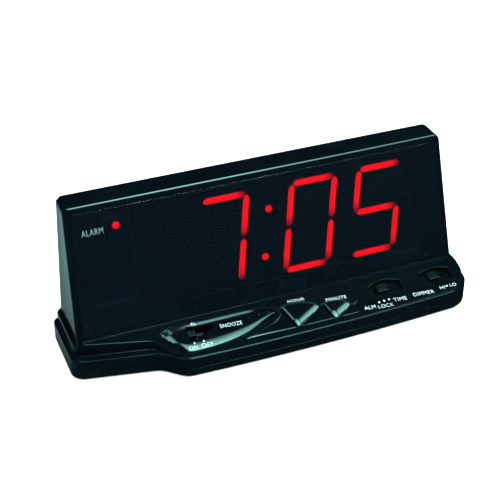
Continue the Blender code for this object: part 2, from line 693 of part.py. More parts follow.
def cord_gland():
    """Bush in the rear cover that the mains cord would leave through."""
    made = rod("cord_gland", 4.6 * MM, 22.2 * MM, 27.2 * MM, (52 * MM, 26 * MM), segments=24,
               lying=True)
    add(made, rod("gland_flange", 6.2 * MM, 26.5 * MM, 28.4 * MM, (52 * MM, 26 * MM),
                  segments=24, top=5.6 * MM, lying=True))
    cut(made, rod("gland_bore", 3.4 * MM, 15 * MM, 40 * MM, (52 * MM, 26 * MM), segments=24,
                  lying=True))
    return finish(made, (0.015, 0.015, 0.015), 0.5)


# --- Assembly ----------------------------------------------------------------------------

front_housing()
rear_cover()
bottom_cover()
battery_door()
display_lens()
snooze_bar()
push_button("hour_button", HOUR_OUTLINE, (9.5 * MM, -10.5 * MM))
push_button("minute_button", MINUTE_OUTLINE, (28.0 * MM, -13.2 * MM))
slide_knob("alarm_knob", (-45.9 * MM, -8.6 * MM), (3.8 * MM, 3.4 * MM), -4.2 * MM, 0.3 * MM)
slide_knob("set_knob", (56.5 * MM, -8.2 * MM), (6.0 * MM, 4.6 * MM), -2.5 * MM, -0.5 * MM)
slide_knob("dimmer_knob", (86.0 * MM, -8.2 * MM), (6.0 * MM, 4.6 * MM), -2.5 * MM, -0.5 * MM)
tact_switch("snooze", (-22.0 * MM, -11.0 * MM))
tact_switch("hour", (9.5 * MM, -10.5 * MM))
tact_switch("minute", (28.0 * MM, -13.2 * MM))
slide_switch("alarm_switch", (-43.9 * MM, -8.6 * MM), ALARM_TRAVEL)
slide_switch("set_switch", (56.5 * MM, -8.2 * MM), 2 * SET_STEP)
slide_switch("dimmer_switch", (88.0 * MM, -8.2 * MM), DIMMER_TRAVEL)
key_board()
led_display()
main_board()
board_screw("display_screw_left", -60.0)
board_screw("display_screw_right", 73.0)
transformer()
battery()
ribbon_cable()
cord_gland()
for foot, (foot_x, foot_y) in FEET.items():
    finish(rod(foot, FOOT_RADIUS, 0.0, 1.4 * MM, (foot_x, foot_y), segments=24,
               top=FOOT_RADIUS), (0.02, 0.02, 0.02), 0.8)
for case_screw, case_spot in CASE_SCREWS.items():
    screw(case_screw, 1.35 * MM, 3.0 * MM, 0.9 * MM, 11.0 * MM, case_spot)
for key_screw, key_spot in KEY_SCREWS.items():
    screw(key_screw, 0.9 * MM, 2.0 * MM, -10.9 * MM, -4.5 * MM, key_spot, deck)
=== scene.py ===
import math

import bmesh
import bpy
from mathutils import Matrix, Vector
from mathutils.geometry import delaunay_2d_cdt


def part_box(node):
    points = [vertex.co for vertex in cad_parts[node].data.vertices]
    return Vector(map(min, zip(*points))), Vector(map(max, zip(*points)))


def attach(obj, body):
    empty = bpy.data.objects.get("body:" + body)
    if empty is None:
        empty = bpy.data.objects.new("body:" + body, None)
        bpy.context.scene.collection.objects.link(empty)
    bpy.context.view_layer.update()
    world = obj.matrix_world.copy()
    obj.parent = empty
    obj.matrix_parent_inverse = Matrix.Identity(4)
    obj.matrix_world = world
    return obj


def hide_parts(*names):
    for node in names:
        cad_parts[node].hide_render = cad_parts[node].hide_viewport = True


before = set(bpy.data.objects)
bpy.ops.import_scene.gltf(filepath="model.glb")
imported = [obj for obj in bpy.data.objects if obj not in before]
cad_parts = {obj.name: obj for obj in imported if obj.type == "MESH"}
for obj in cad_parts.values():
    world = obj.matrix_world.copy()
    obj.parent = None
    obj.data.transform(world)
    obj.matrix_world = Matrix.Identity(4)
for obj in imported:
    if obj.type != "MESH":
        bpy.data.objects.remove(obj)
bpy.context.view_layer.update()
mm = 0.001
print("clock: frame loaded,", len(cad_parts), "nodes")

# The two sloping planes that the clock is laid out on, and the sizes read from the frame
housingLow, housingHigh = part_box("front_housing")
coverLow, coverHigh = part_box("bottom_cover")
layout = {
    "faceTilt": 15.8,          # degrees that the window leans back
    "deckSlope": 16.0,         # degrees that the deck falls to the front
    "footY": -6.2,             # where window and deck meet, in millimetres
    "footZ": 18.3,
    "deckZ": 17.8,
    "baseHalf": coverHigh.x / mm,
    "baseRear": 28.95,
    "bodyTop": housingHigh.z / mm,
    "bodyHalfFoot": 100.0,
    "bodyHalfTop": 97.3,
    "bodyRearFoot": 26.3,
    "bodyRearTop": 25.3,
    "seamFoot": 11.3,          # the seam between housing and rear cover leans back too
    "seamTop": 17.8,
    "gap": 0.3,
}
faceAngle = math.radians(layout["faceTilt"])
deckAngle = math.radians(layout["deckSlope"])
deckFrame = (Matrix.Translation((0, layout["footY"] * mm, layout["deckZ"] * mm))
             @ Matrix.Rotation(deckAngle, 4, "X"))
faceFrame = (Matrix.Translation((0, layout["footY"] * mm, layout["footZ"] * mm))
             @ Matrix.Rotation(-faceAngle, 4, "X"))
faceHeight = (layout["bodyTop"] - layout["footZ"]) / math.cos(faceAngle)
flat = Matrix.Identity(4)


# Camera, above the clock and to its left
shot = {
    "place": (-0.19441, -0.45796, 0.37533),    # metres
    "down": 33.73,             # degrees that it looks down
    "aside": 21.94,            # degrees that it looks to the right
    "film": 36,                # width in millimetres
    "lens": 88.32,
}
camera = bpy.data.objects.new("camera", bpy.data.cameras.new("camera"))
camera.location = shot["place"]
camera.rotation_euler = (math.radians(90 - shot["down"]), 0, math.radians(-shot["aside"]))
camera.data.sensor_width = shot["film"]
camera.data.lens = shot["lens"]
bpy.context.scene.collection.objects.link(camera)
bpy.context.scene.camera = camera


# Small tools for outlines and meshes
def arcPoints(centre, radius, start, end, steps):
    # points on a circle, angles in degrees
    turns = [math.radians(start + (end - start) * i / steps) for i in range(steps + 1)]
    return [(centre[0] + radius * math.cos(a), centre[1] + radius * math.sin(a)) for a in turns]


def curvePoints(first, leave, arrive, last, steps):
    # a curve with two handles, its last point left out
    made = []
    for i in range(steps):
        t = i / steps
        weights = ((1 - t) ** 3, 3 * t * (1 - t) ** 2, 3 * t * t * (1 - t), t ** 3)
        corners = (first, leave, arrive, last)
        made.append(tuple(sum(w * c[k] for w, c in zip(weights, corners)) for k in (0, 1)))
    return made


def quarterTurn(steps):
    # the angles of a rounded edge, from its side to its top
    return [math.radians(90 * step / steps) for step in range(steps + 1)]


def linePoints(first, last, steps):
    # points on a straight run, its last point left out
    return [(first[0] + (last[0] - first[0]) * i / steps,
             first[1] + (last[1] - first[1]) * i / steps) for i in range(steps)]


def outwards(outline):
    # the outward direction at each point of a counter-clockwise outline
    made = []
    count = len(outline)
    for i in range(count):
        before = Vector(outline[i - 1])
        here = Vector(outline[i])
        after = Vector(outline[(i + 1) % count])
        first = (here - before).normalized()
        second = (after - here).normalized()
        way = Vector((first.y + second.y, -first.x - second.x)).normalized()
        made.append(way / max(way.dot(Vector((second.y, -second.x))), 0.6))
    return made


def grown(outline, distance):
    # an outline moved outwards, or inwards when the distance is negative
    return [(p[0] + w.x * distance, p[1] + w.y * distance)
            for p, w in zip(outline, outwards(outline))]


def eased(outline, reach=0.45, turn=22.0):
    # an outline with its sharp corners rounded
    made = []
    for i in range(len(outline)):
        before, here, after = (Vector(outline[k % len(outline)]) for k in (i - 1, i, i + 1))
        first, second = here - before, after - here
        if math.degrees(first.angle(second, 0.0)) < turn:
            made.append(tuple(here))
            continue
        start = here - first.normalized() * min(reach, first.length * 0.45)
        end = here + second.normalized() * min(reach, second.length * 0.45)
        for step in range(5):
            t = step / 4
            made.append(tuple(start * (1 - t) ** 2 + here * 2 * t * (1 - t) + end * t * t))
    return made


def distanceTo(outline, x, y):
    # how far a point is from the outline
    best = 1e9
    for i in range(len(outline)):
        ax, ay = outline[i - 1]
        bx, by = outline[i]
        dx, dy = bx - ax, by - ay
        length = dx * dx + dy * dy
        t = 0 if length == 0 else max(0, min(1, ((x - ax) * dx + (y - ay) * dy) / length))
        best = min(best, math.hypot(ax + dx * t - x, ay + dy * t - y))
    return best


def smooth(low, high, value):
    t = max(0.0, min(1.0, (value - low) / (high - low)))
    return t * t * (3 - 2 * t)


def loft(rings, matrix=flat, caps=True):
    # skins a stack of rings with equal counts, given in millimetres
    bm = bmesh.new()
    rows = [[bm.verts.new(matrix @ (Vector(point) * mm)) for point in ring] for ring in rings]
    count = len(rows[0])
    for lower, upper in zip(rows, rows[1:]):
        for i in range(count):
            k = (i + 1) % count
            bm.faces.new((lower[i], lower[k], upper[k], upper[i]))
    if caps:
        bm.faces.new(rows[0][::-1])
        bm.faces.new(rows[-1])
    return bm


def meshObject(name, bm):
    bmesh.ops.recalc_face_normals(bm, faces=bm.faces[:])
    mesh = bpy.data.meshes.new(name)
    bm.to_mesh(mesh)
    bm.free()
    made = bpy.data.objects.new(name, mesh)
    bpy.context.scene.collection.objects.link(made)
    return made


def settle(made):
    # turns an object's modifiers into plain mesh
    bpy.context.view_layer.update()
    seen = made.evaluated_get(bpy.context.evaluated_depsgraph_get())
    mesh = bpy.data.meshes.new_from_object(seen)
    old = made.data
    made.modifiers.clear()
    made.data = mesh
    bpy.data.meshes.remove(old)


def carve(made, tools, operation="DIFFERENCE"):
    for tool in tools:
        modifier = made.modifiers.new(tool.name, "BOOLEAN")
        modifier.operation = operation
        modifier.object = tool
        modifier.solver = "EXACT"
        settle(made)
        bpy.data.objects.remove(tool, do_unlink=True)


def flush(made, angle=32.0):
    # rounded edges shade softly while the large faces stay flat
    polish(made, angle)
    modifier = made.modifiers.new("even shading", "WEIGHTED_NORMAL")
    modifier.weight = 90
    modifier.keep_sharp = True


def polish(made, angle=38.0):
    # smooth all over, with creases only at steep edges
    made.data.shade_smooth()
    made.data.set_sharp_from_angle(angle=math.radians(angle))


def soften(made, width, test, angle=50.0, segments=2):
    # rounds the sharp edges whose middle passes a test given in millimetres
    bm = bmesh.new()
    bm.from_mesh(made.data)
    picked = []
    for edge in bm.edges:
        if len(edge.link_faces) == 2 and edge.calc_face_angle(0.0) > math.radians(angle):
            middle = (edge.verts[0].co + edge.verts[1].co) / 2 / mm
            if test(middle):
                picked.append(edge)
    bmesh.ops.bevel(bm, geom=picked, offset=width * mm, segments=segments, profile=0.5,
                    affect="EDGES", clamp_overlap=True)
    bm.to_mesh(made.data)
    bm.free()


def plateTool(name, outline, low, high, matrix=deckFrame):
    return meshObject(name, loft([[(x, y, z) for x, y in outline] for z in (low, high)], matrix))


def pocketTool(name, outline, floor, surface, lip, ceiling, matrix=deckFrame):
    # cuts a pocket whose mouth is rounded by lip
    rings = [[(x, y, floor) for x, y in outline]]
    for turn in quarterTurn(4):
        rings.append([(x, y, surface - lip + lip * math.sin(turn))
                      for x, y in grown(outline, lip * (1 - math.cos(turn)))])
    rings.append([(x, y, ceiling) for x, y in grown(outline, lip * 1.02)])
    return meshObject(name, loft(rings, matrix))


def boxTool(name, low, high, matrix=flat):
    corners = [(low[0], low[1]), (high[0], low[1]), (high[0], high[1]), (low[0], high[1])]
    return plateTool(name, corners, low[2], high[2], matrix)


def slotOutline(x, y, width, height, steps=6):
    # a long hole with round ends
    r = height / 2
    return (arcPoints((x + width / 2 - r, y), r, -90, 90, steps)
            + arcPoints((x - width / 2 + r, y), r, 90, 270, steps))


def turned(name, profile, matrix, segments=40):
    # a turned piece: (radius, height) pairs round the local Z axis, closed at both ends
    rings = []
    for radius, height in profile:
        rings.append([(radius * math.cos(2 * math.pi * i / segments),
                       radius * math.sin(2 * math.pi * i / segments), height)
                      for i in range(segments)])
    return meshObject(name, loft(rings, matrix))


def roundedBlock(name, low, high, edge, matrix=flat, segments=3):
    bm = bmesh.new()
    bmesh.ops.create_cube(bm, size=1.0)
    middle = [(a + b) / 2 for a, b in zip(low, high)]
    for vertex in bm.verts:
        place = [m + c * (b - a) for m, c, a, b in zip(middle, vertex.co, low, high)]
        vertex.co = Vector(place) * mm
    bmesh.ops.bevel(bm, geom=bm.edges[:], offset=edge * mm, segments=segments, profile=0.5,
                    affect="EDGES")
    bm.transform(matrix)
    return meshObject(name, bm)


def joined(name, objects):
    # several closed meshes kept as one piece
    bm = bmesh.new()
    for item in objects:
        bm.from_mesh(item.data)
        bpy.data.objects.remove(item, do_unlink=True)
    return meshObject(name, bm)


def fit(made, material, body, slot, *nodes):
    made.data.materials.clear()
    made.data.materials.append(material)
    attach(made, body)
    if nodes:
        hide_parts(*nodes)
    return made


# Finishes
def newMaterial(name):
    material = bpy.data.materials.new(name)
    material.use_nodes = True
    return material, material.node_tree, material.node_tree.nodes["Principled BSDF"]


def noiseNode(tree, scale, detail=3.0, distortion=0.0):
    place = tree.nodes.new("ShaderNodeTexCoord")
    noise = tree.nodes.new("ShaderNodeTexNoise")
    noise.inputs["Scale"].default_value = scale
    noise.inputs["Detail"].default_value = detail
    noise.inputs["Distortion"].default_value = distortion
    tree.links.new(place.outputs["Object"], noise.inputs["Vector"])
    return noise


def rampNode(tree, source, stops):
    ramp = tree.nodes.new("ShaderNodeValToRGB")
    ramp.color_ramp.elements[0].position = stops[0][0]
    ramp.color_ramp.elements[0].color = (*stops[0][1], 1)
    ramp.color_ramp.elements[1].position = stops[-1][0]
    ramp.color_ramp.elements[1].color = (*stops[-1][1], 1)
    for place, colour in stops[1:-1]:
        ramp.color_ramp.elements.new(place).color = (*colour, 1)
    tree.links.new(source, ramp.inputs["Fac"])
    return ramp


def rangeNode(tree, source, low, high, fromLow=0.3, fromHigh=0.7):
    node = tree.nodes.new("ShaderNodeMapRange")
    node.inputs["From Min"].default_value = fromLow
    node.inputs["From Max"].default_value = fromHigh
    node.inputs["To Min"].default_value = low
    node.inputs["To Max"].default_value = high
    tree.links.new(source, node.inputs["Value"])
    return node


def bumpNode(tree, source, distance, strength, below=None):
    bump = tree.nodes.new("ShaderNodeBump")
    bump.inputs["Strength"].default_value = strength
    bump.inputs["Distance"].default_value = distance
    tree.links.new(source, bump.inputs["Height"])
    if below is not None:
        tree.links.new(below.outputs["Normal"], bump.inputs["Normal"])
    return bump


def dress(tree, shader, colour, gloss, bump):
    # joins a pattern's colour, gloss and relief to the shader
    tree.links.new(colour.outputs["Color"], shader.inputs["Base Color"])
    tree.links.new(gloss.outputs["Result"], shader.inputs["Roughness"])
    tree.links.new(bump.outputs["Normal"], shader.inputs["Normal"])


plastic = {
    "dark": (0.0008, 0.0022, 0.0036),
    "light": (0.0013, 0.0033, 0.0052),
    "tint": (0.56, 1.0, 0.93),         # cool reflections of the pigment
}


def mouldedPlastic(name, rough, grain=0.0, dark=None, light=None, specular=0.5):
    # moulded ABS: faint flow marks in colour and gloss, fine grain where it isn't polished
    material, tree, shader = newMaterial(name)
    clouds = noiseNode(tree, 45.0, 4.0, 0.6)
    ramp = rampNode(tree, clouds.outputs["Fac"],
                    [(0.35, dark or plastic["dark"]), (0.65, light or plastic["light"])])
    handling = noiseNode(tree, 210.0, 5.0, 0.3)
    gloss = rangeNode(tree, handling.outputs["Fac"], rough * 0.8, rough * 1.3)
    waves = noiseNode(tree, 70.0, 1.0)
    bump = bumpNode(tree, waves.outputs["Fac"], 0.00002, 0.25)
    if grain:
        fine = noiseNode(tree, 3800.0, 2.0)
        bump = bumpNode(tree, fine.outputs["Fac"], 0.00003, grain, bump)
    dress(tree, shader, ramp, gloss, bump)
    shader.inputs["Specular IOR Level"].default_value = specular
    shader.inputs["Specular Tint"].default_value = (*plastic["tint"], 1)
    return material


def smokedWindow():
    # tinted acrylic: dark in the mass, polished, with a trace of moulding waves
    material, tree, shader = newMaterial("smoked window")
    clouds = noiseNode(tree, 30.0, 2.0)
    ramp = rampNode(tree, clouds.outputs["Fac"],
                    [(0.3, (0.053, 0.122, 0.196)), (0.7, (0.057, 0.130, 0.206))])
    gloss = rangeNode(tree, noiseNode(tree, 160.0, 4.0).outputs["Fac"], 0.015, 0.04)
    bump = bumpNode(tree, noiseNode(tree, 24.0, 1.0).outputs["Fac"], 0.00001, 0.1)
    dress(tree, shader, ramp, gloss, bump)
    shader.inputs["Transmission Weight"].default_value = 0.974
    shader.inputs["IOR"].default_value = 1.49
    return material


def litSegment():
    # diffused red light that weakens to the ends of each bar
    material, tree, shader = newMaterial("lit segment")
    reach = tree.nodes.new("ShaderNodeAttribute")
    reach.attribute_name = "glow"
    colour = rampNode(tree, reach.outputs["Fac"],
                      [(0.0, (0.10, 0.0, 0.0004)), (0.5, (0.55, 0.0002, 0.0008)),
                       (1.0, (1.0, 0.0004, 0.0014))])
    grain = noiseNode(tree, 900.0, 3.0)
    mixed = rangeNode(tree, grain.outputs["Fac"], 0.94, 1.06)
    scale = tree.nodes.new("ShaderNodeVectorMath")
    scale.operation = "SCALE"
    tree.links.new(colour.outputs["Color"], scale.inputs[0])
    tree.links.new(mixed.outputs["Result"], scale.inputs["Scale"])
    tree.links.new(scale.outputs["Vector"], shader.inputs["Emission Color"])
    shader.inputs["Emission Strength"].default_value = 19.5
    shader.inputs["Base Color"].default_value = (0.35, 0.01, 0.01, 1)
    shader.inputs["Roughness"].default_value = 0.6
    return material


def speckled(name, dark, light, scale, rough, metallic=0.0, bump=0.15, depth=0.00003, specular=0.5):
    # a general finish: two close colours in a fine pattern, with a matching surface
    material, tree, shader = newMaterial(name)
    noise = noiseNode(tree, scale, 4.0, 0.2)
    ramp = rampNode(tree, noise.outputs["Fac"], [(0.3, dark), (0.7, light)])
    gloss = rangeNode(tree, noise.outputs["Fac"], rough * 0.85, min(1.0, rough * 1.2))
    dress(tree, shader, ramp, gloss, bumpNode(tree, noise.outputs["Fac"], depth, bump))
    shader.inputs["Metallic"].default_value = metallic
    shader.inputs["Specular IOR Level"].default_value = specular
    return material


def banded(name, first, second, count, axis, rough, metallic=0.0):
    # fine parallel bands: laminations, wound wire, ribbon conductors or board tracks
    material, tree, shader = newMaterial(name)
    place = tree.nodes.new("ShaderNodeTexCoord")
    wave = tree.nodes.new("ShaderNodeTexWave")
    wave.bands_direction = axis
    wave.inputs["Scale"].default_value = count
    wave.inputs["Distortion"].default_value = 0.4
    wave.inputs["Detail"].default_value = 2.0
    tree.links.new(place.outputs["Object"], wave.inputs["Vector"])
    ramp = rampNode(tree, wave.outputs["Fac"], [(0.4, first), (0.6, second)])
    gloss = rangeNode(tree, wave.outputs["Fac"], rough * 0.8, rough * 1.2)
    dress(tree, shader, ramp, gloss, bumpNode(tree, wave.outputs["Fac"], 0.0001, 0.3))
    shader.inputs["Metallic"].default_value = metallic
    return material


glossBlack = mouldedPlastic("gloss black plastic", 0.09)
coverBlack = mouldedPlastic("rear cover plastic", 0.17, 0.05, specular=0.3)
baseBlack = mouldedPlastic("bottom cover plastic", 0.22, 0.18)
keyBlack = mouldedPlastic("polished key plastic", 0.075)
knobBlack = mouldedPlastic("satin knob plastic", 0.16, 0.1)
windowSmoke = smokedWindow()
redSegment = litSegment()
whiteInk = speckled("white printed ink", (0.62, 0.80, 0.80), (0.72, 0.90, 0.90), 1500.0, 0.55)
greyInk = speckled("grey printed ink", (0.15, 0.25, 0.24), (0.20, 0.32, 0.31), 1500.0, 0.55)
footRubber = speckled("foot rubber", (0.012, 0.012, 0.013), (0.03, 0.03, 0.032), 900.0, 0.75, bump=0.5)
screwSteel = speckled("screw steel", (0.42, 0.42, 0.43), (0.6, 0.6, 0.61), 1300.0, 0.3, 1.0)
print("clock: finishes ready")


# Base: two tiers and the bottom cover, from one pair of matched outlines
base = {
    "lower": {"half": layout["baseHalf"], "rear": layout["baseRear"], "leftFront": -12.4,
              "stepFrom": (-66.0, -17.7), "stepTo": (-50.0, -27.9), "bowInset": 0.0},
    "upper": {"half": layout["baseHalf"] - 1.9, "rear": layout["baseRear"] - 1.3, "leftFront": -8.2,
              "stepFrom": (-68.0, -12.9), "stepTo": (-51.0, -27.3), "bowInset": 0.55},
    "frontCorner": 14.5,
    "coverLow": coverLow.z / mm,
    "coverTop": 5.0,
    "lowerTop": 11.2,
    "lowerRim": 0.9,
    "upperRim": 1.4,
    "ledgeFillet": 0.5,
    "wall": 2.2,
}


def frontBow(x):
    return -28.95 + 0.00035 * (x - 4.0) ** 2


def baseOutline(half, rear, leftFront, stepFrom, stepTo, bowInset):
    # the base seen from above, counter-clockwise from the rear right
    corner = base["frontCorner"]
    reach = half - corner
    points = arcPoints((half - 4.5, rear - 4.5), 4.5, 0, 90, 10)
    points += arcPoints((-half + 4.5, rear - 4.5), 4.5, 90, 180, 10)
    left = arcPoints((-half + 7.0, leftFront + 8.0), 7.0, 180, 261, 14)
    points += linePoints((-half, rear - 4.5), left[0], 12)[1:]
    points += left
    points += linePoints(left[-1], stepFrom, 8)[1:]
    points += curvePoints(stepFrom, (stepFrom[0] + 6.5, stepFrom[1] - 1.1),
                          (stepTo[0] - 6.5, stepTo[1] + 0.4), stepTo, 28)
    for i in range(33):
        x = stepTo[0] + (reach - stepTo[0]) * i / 32
        points.append((x, frontBow(x) + bowInset))
    centreY = frontBow(reach) + bowInset + corner
    right = arcPoints((reach, centreY), corner, -86, 0, 18)
    points += right
    points += linePoints(right[-1], (half, rear - 4.5), 12)[1:]
    return points


lowerOutline = baseOutline(**base["lower"])
upperOutline = baseOutline(**base["upper"])
lowerWays = outwards(lowerOutline)
upperWays = outwards(upperOutline)


def deckHeight(y):
    # height of the upper tier's top, which slopes down in front of the window
    return layout["deckZ"] + min(0.0, y - layout["footY"]) * math.tan(deckAngle)


def rimRings(outline, ways, radii, tops):
    # a rounded edge whose radius and height may change along the outline
    return [[(p[0] - w.x * r * (1 - math.cos(turn)), p[1] - w.y * r * (1 - math.cos(turn)),
              top - r + r * math.sin(turn)) for p, w, r, top in zip(outline, ways, radii, tops)]
            for turn in quarterTurn(6)]


def tierRings():
    # both edges are tighter along the front than at the sides
    rise = base["lowerTop"]
    lowerRims = [base["lowerRim"] * (1 - 0.5 * smooth(-9.0, -13.0, y) - 0.32 * smooth(-15.0, -25.0, y))
                 for x, y in lowerOutline]
    bottom = base["coverTop"] + layout["gap"]
    rings = [[(x, y, bottom) for x, y in grown(lowerOutline, -0.07)]]
    rings.append([(x, y, bottom + 0.07) for x, y in lowerOutline])
    rings += rimRings(lowerOutline, lowerWays, lowerRims, [rise] * len(lowerOutline))
    fillets = []
    for p, q, w, rim in zip(lowerOutline, upperOutline, lowerWays, lowerRims):
        ledge = (p[0] - q[0]) * w.x + (p[1] - q[1]) * w.y
        fillets.append(max(0.03, min(base["ledgeFillet"], ledge - rim - 0.05)))
    for turn in quarterTurn(4):
        rings.append([(q[0] + v.x * f * (1 - math.sin(turn)), q[1] + v.y * f * (1 - math.sin(turn)),
                       rise + f * (1 - math.cos(turn)))
                      for q, v, f in zip(upperOutline, upperWays, fillets)])
    rims = []
    for q, v, f in zip(upperOutline, upperWays, fillets):
        top = deckHeight(q[1])
        tight = 0.6 * smooth(-4.0, -8.5, q[1])
        rim = base["upperRim"] * (1 - tight - 0.27 * smooth(-15.0, -24.0, q[1]))
        rims.append(min(rim, 0.85 * (top - rise - f)))
    tops = [deckHeight(q[1] - v.y * r) for q, v, r in zip(upperOutline, upperWays, rims)]
    return rings + rimRings(upperOutline, upperWays, rims, tops)


def baseShell():
    # both tiers, with the deck and the flat behind it as two faces that share a fold
    rings = tierRings()
    last = rings[-1]
    folds = []
    foot = layout["footY"]
    for i in range(len(last)):
        k = (i + 1) % len(last)
        if (last[i][1] - foot) * (last[k][1] - foot) <= 0:
            near = i if abs(last[i][1] - foot) < abs(last[k][1] - foot) else k
            last[near] = (last[near][0], foot, layout["deckZ"])
            if near not in folds:
                folds.append(near)
    bm = loft(rings, caps=False)
    bm.verts.ensure_lookup_table()
    count = len(last)
    bm.faces.new([bm.verts[i] for i in range(count)][::-1])
    top = [bm.verts[(len(rings) - 1) * count + i] for i in range(count)]
    first, second = sorted(folds)[0], sorted(folds)[-1]
    bm.faces.new(top[first:second + 1])
    bm.faces.new(top[second:] + top[:first + 1])
    return meshObject("front_housing_shell", bm)


# Upright body, shared by the front housing and the rear cover
body = {
    "corner": 3.2,        # the two upper corners and the two rear edges
    "edge": 1.25,         # all other edges
    "wall": 2.2,
}


def share(height):
    return (height - layout["footZ"]) / (layout["bodyTop"] - layout["footZ"])


def bodyHalf(height):
    return layout["bodyHalfFoot"] + (layout["bodyHalfTop"] - layout["bodyHalfFoot"]) * share(height)


def bodyFront(height):
    return layout["footY"] + (height - layout["footZ"]) * math.tan(faceAngle)


def bodyRear(height):
    return layout["bodyRearFoot"] + (layout["bodyRearTop"] - layout["bodyRearFoot"]) * share(height)


def seamAt(height):
    return layout["seamFoot"] + (layout["seamTop"] - layout["seamFoot"]) * share(height)


def hexahedron(bottom, top, halves, fronts, rears):
    # a solid between two heights, each with its own half width, front and rear
    rings = [[(h, f, z), (h, r, z), (-h, r, z), (-h, f, z)]
             for z, h, f, r in zip((bottom, top), halves, fronts, rears)]
    return loft(rings)


def bodySolid(name, bottom, inset=0.0):
    top = layout["bodyTop"] - inset
    slant = inset / math.cos(faceAngle)
    bm = hexahedron(bottom, top, (bodyHalf(bottom) - inset, bodyHalf(top) - inset),
                    (bodyFront(bottom) + slant, bodyFront(top) + slant),
                    (bodyRear(bottom) - inset, bodyRear(top) - inset))
    rounded = []
    for edge in bm.edges:
        a, b = edge.verts[0].co / mm, edge.verts[1].co / mm
        upright = abs(a.z - b.z) > abs(a.y - b.y) and (a.y + b.y) / 2 > layout["bodyRearTop"] - 5
        shoulder = abs(a.z - b.z) < 0.1 < abs(a.y - b.y) and (a.z + b.z) / 2 > (top + bottom) / 2
        if upright or shoulder:
            rounded.append(edge)
    detail = 2 if inset else 12
    bmesh.ops.bevel(bm, geom=rounded, offset=max(body["corner"] - inset, 1.5) * mm, segments=detail,
                    profile=0.5, affect="EDGES")
    if not inset:
        bmesh.ops.recalc_face_normals(bm, faces=bm.faces[:])
        sharp = [edge for edge in bm.edges
                 if edge.calc_face_angle(0.0) > math.radians(60)
                 and any(vertex.co.z > (bottom + 0.1) * mm for vertex in edge.verts)]
        bmesh.ops.bevel(bm, geom=sharp, offset=body["edge"] * mm, segments=5, profile=0.5,
                        affect="EDGES")
    return meshObject(name, bm)


def seamTool(name, bottom, behind):
    far, top = 60.0, layout["bodyTop"] + 5
    shift = (-0.5 if behind else 0.5) * layout["gap"]
    line = (seamAt(bottom) + shift, seamAt(top) + shift)
    fronts, rears = (line, (far, far)) if behind else ((-far, -far), line)
    return meshObject(name, hexahedron(bottom, top, (130, 130), fronts, rears))


window = {
    "rimSide": 2.6,
    "rimTop": 3.2,
    "foot": 0.4,
    "thick": 1.8,
    "corner": 2.0,
}


def windowOutline(inset):
    foot = layout["bodyHalfFoot"] - window["rimSide"] - inset
    top = layout["bodyHalfTop"] - window["rimSide"] - inset
    head = faceHeight - window["rimTop"] - inset
    low = window["foot"] + inset
    r = window["corner"]
    points = [(-foot, low), (foot, low)]
    points += arcPoints((top - r, head - r), r, 0, 90, 8)
    points += arcPoints((-top + r, head - r), r, 90, 180, 8)
    return points


facePlane = faceFrame @ Matrix.Rotation(math.radians(90), 4, "X")   # x across, y up, z outwards


# Outlines on the deck, x to the right and y up the slope
snoozeOutline = (curvePoints((-0.9, -8.0), (-1.6, -5.0), (-8.0, -3.4), (-19.0, -3.3), 16)
                 + linePoints((-19.0, -3.3), (-55.5, -3.3), 20)
                 + curvePoints((-55.5, -3.3), (-58.0, -3.3), (-60.0, -4.6), (-60.7, -6.2), 8)
                 + curvePoints((-60.7, -6.2), (-60.9, -7.2), (-60.0, -8.2), (-59.2, -9.2), 5)
                 + linePoints((-59.2, -9.2), (-54.6, -16.0), 6)
                 + curvePoints((-54.6, -16.0), (-52.8, -18.6), (-51.0, -19.1), (-47.0, -19.1), 8)
                 + curvePoints((-47.0, -19.1), (-26.0, -19.3), (-12.0, -14.6), (-0.9, -8.0), 34))
alarmHole = (curvePoints((-48.2, -4.9), (-48.2, -7.0), (-48.2, -9.0), (-48.2, -12.2), 4)
             + curvePoints((-48.2, -12.2), (-48.2, -13.3), (-46.6, -13.9), (-45.0, -13.2), 6)
             + linePoints((-45.0, -13.2), (-36.6, -9.2), 4)
             + curvePoints((-36.6, -9.2), (-34.4, -8.1), (-34.2, -6.6), (-35.6, -6.4), 5)
             + linePoints((-35.6, -6.4), (-48.2, -4.9), 4))
hourOutline = (curvePoints((20.6, -11.2), (16.6, -6.2), (8.4, -5.0), (1.6, -6.4), 20)
               + linePoints((1.6, -6.4), (4.9, -18.2), 8)
               + arcPoints((6.9, -17.8), 1.9, 196, 300, 8)
               + linePoints((7.85, -19.45), (20.6, -11.2), 10)[1:])
minuteOutline = (curvePoints((36.4, -14.2), (33.4, -10.2), (28.4, -9.0), (22.6, -10.0), 16)
                 + linePoints((22.6, -10.0), (25.0, -18.4), 6)
                 + arcPoints((26.9, -18.3), 1.7, 190, 300, 8)
                 + linePoints((27.75, -19.77), (36.4, -14.2), 8)[1:])
snoozeOutline = eased(snoozeOutline, 0.6)
hourOutline = eased(hourOutline, 0.6)
minuteOutline = eased(minuteOutline, 0.6)
alarmHole = eased(alarmHole, 0.5)


def rearEdge(outline, distance, low):
    # the rear edge of a button, from right to left, moved outwards
    return [p for p in grown(outline, distance) if p[1] > low(p[0])]


recessOutline = [(41.3, -19.9), (40.9, -12.6), (37.6, -14.3)]
recessOutline += rearEdge(minuteOutline, 0.7, lambda x: -13.9 + 0.27 * (36.4 - x))
recessOutline += rearEdge(hourOutline, 0.7, lambda x: -11.0 + 0.23 * (20.6 - x))
recessOutline += [(1.0, -9.0), (-2.0, -12.0), (-6.0, -14.2)]
recessOutline += linePoints((-6.0, -14.2), (-21.6, -19.7), 8)[1:]
recessOutline += linePoints((-21.6, -19.7), (41.3, -19.9), 24)
setPocket = arcPoints((58.0, -22.4), 18.4, 61, 119, 24) + [(49.0, -13.0), (67.0, -13.0)]
dimmerPocket = arcPoints((87.0, -22.4), 18.4, 64, 116, 24) + [(78.9, -13.0), (95.1, -13.0)]


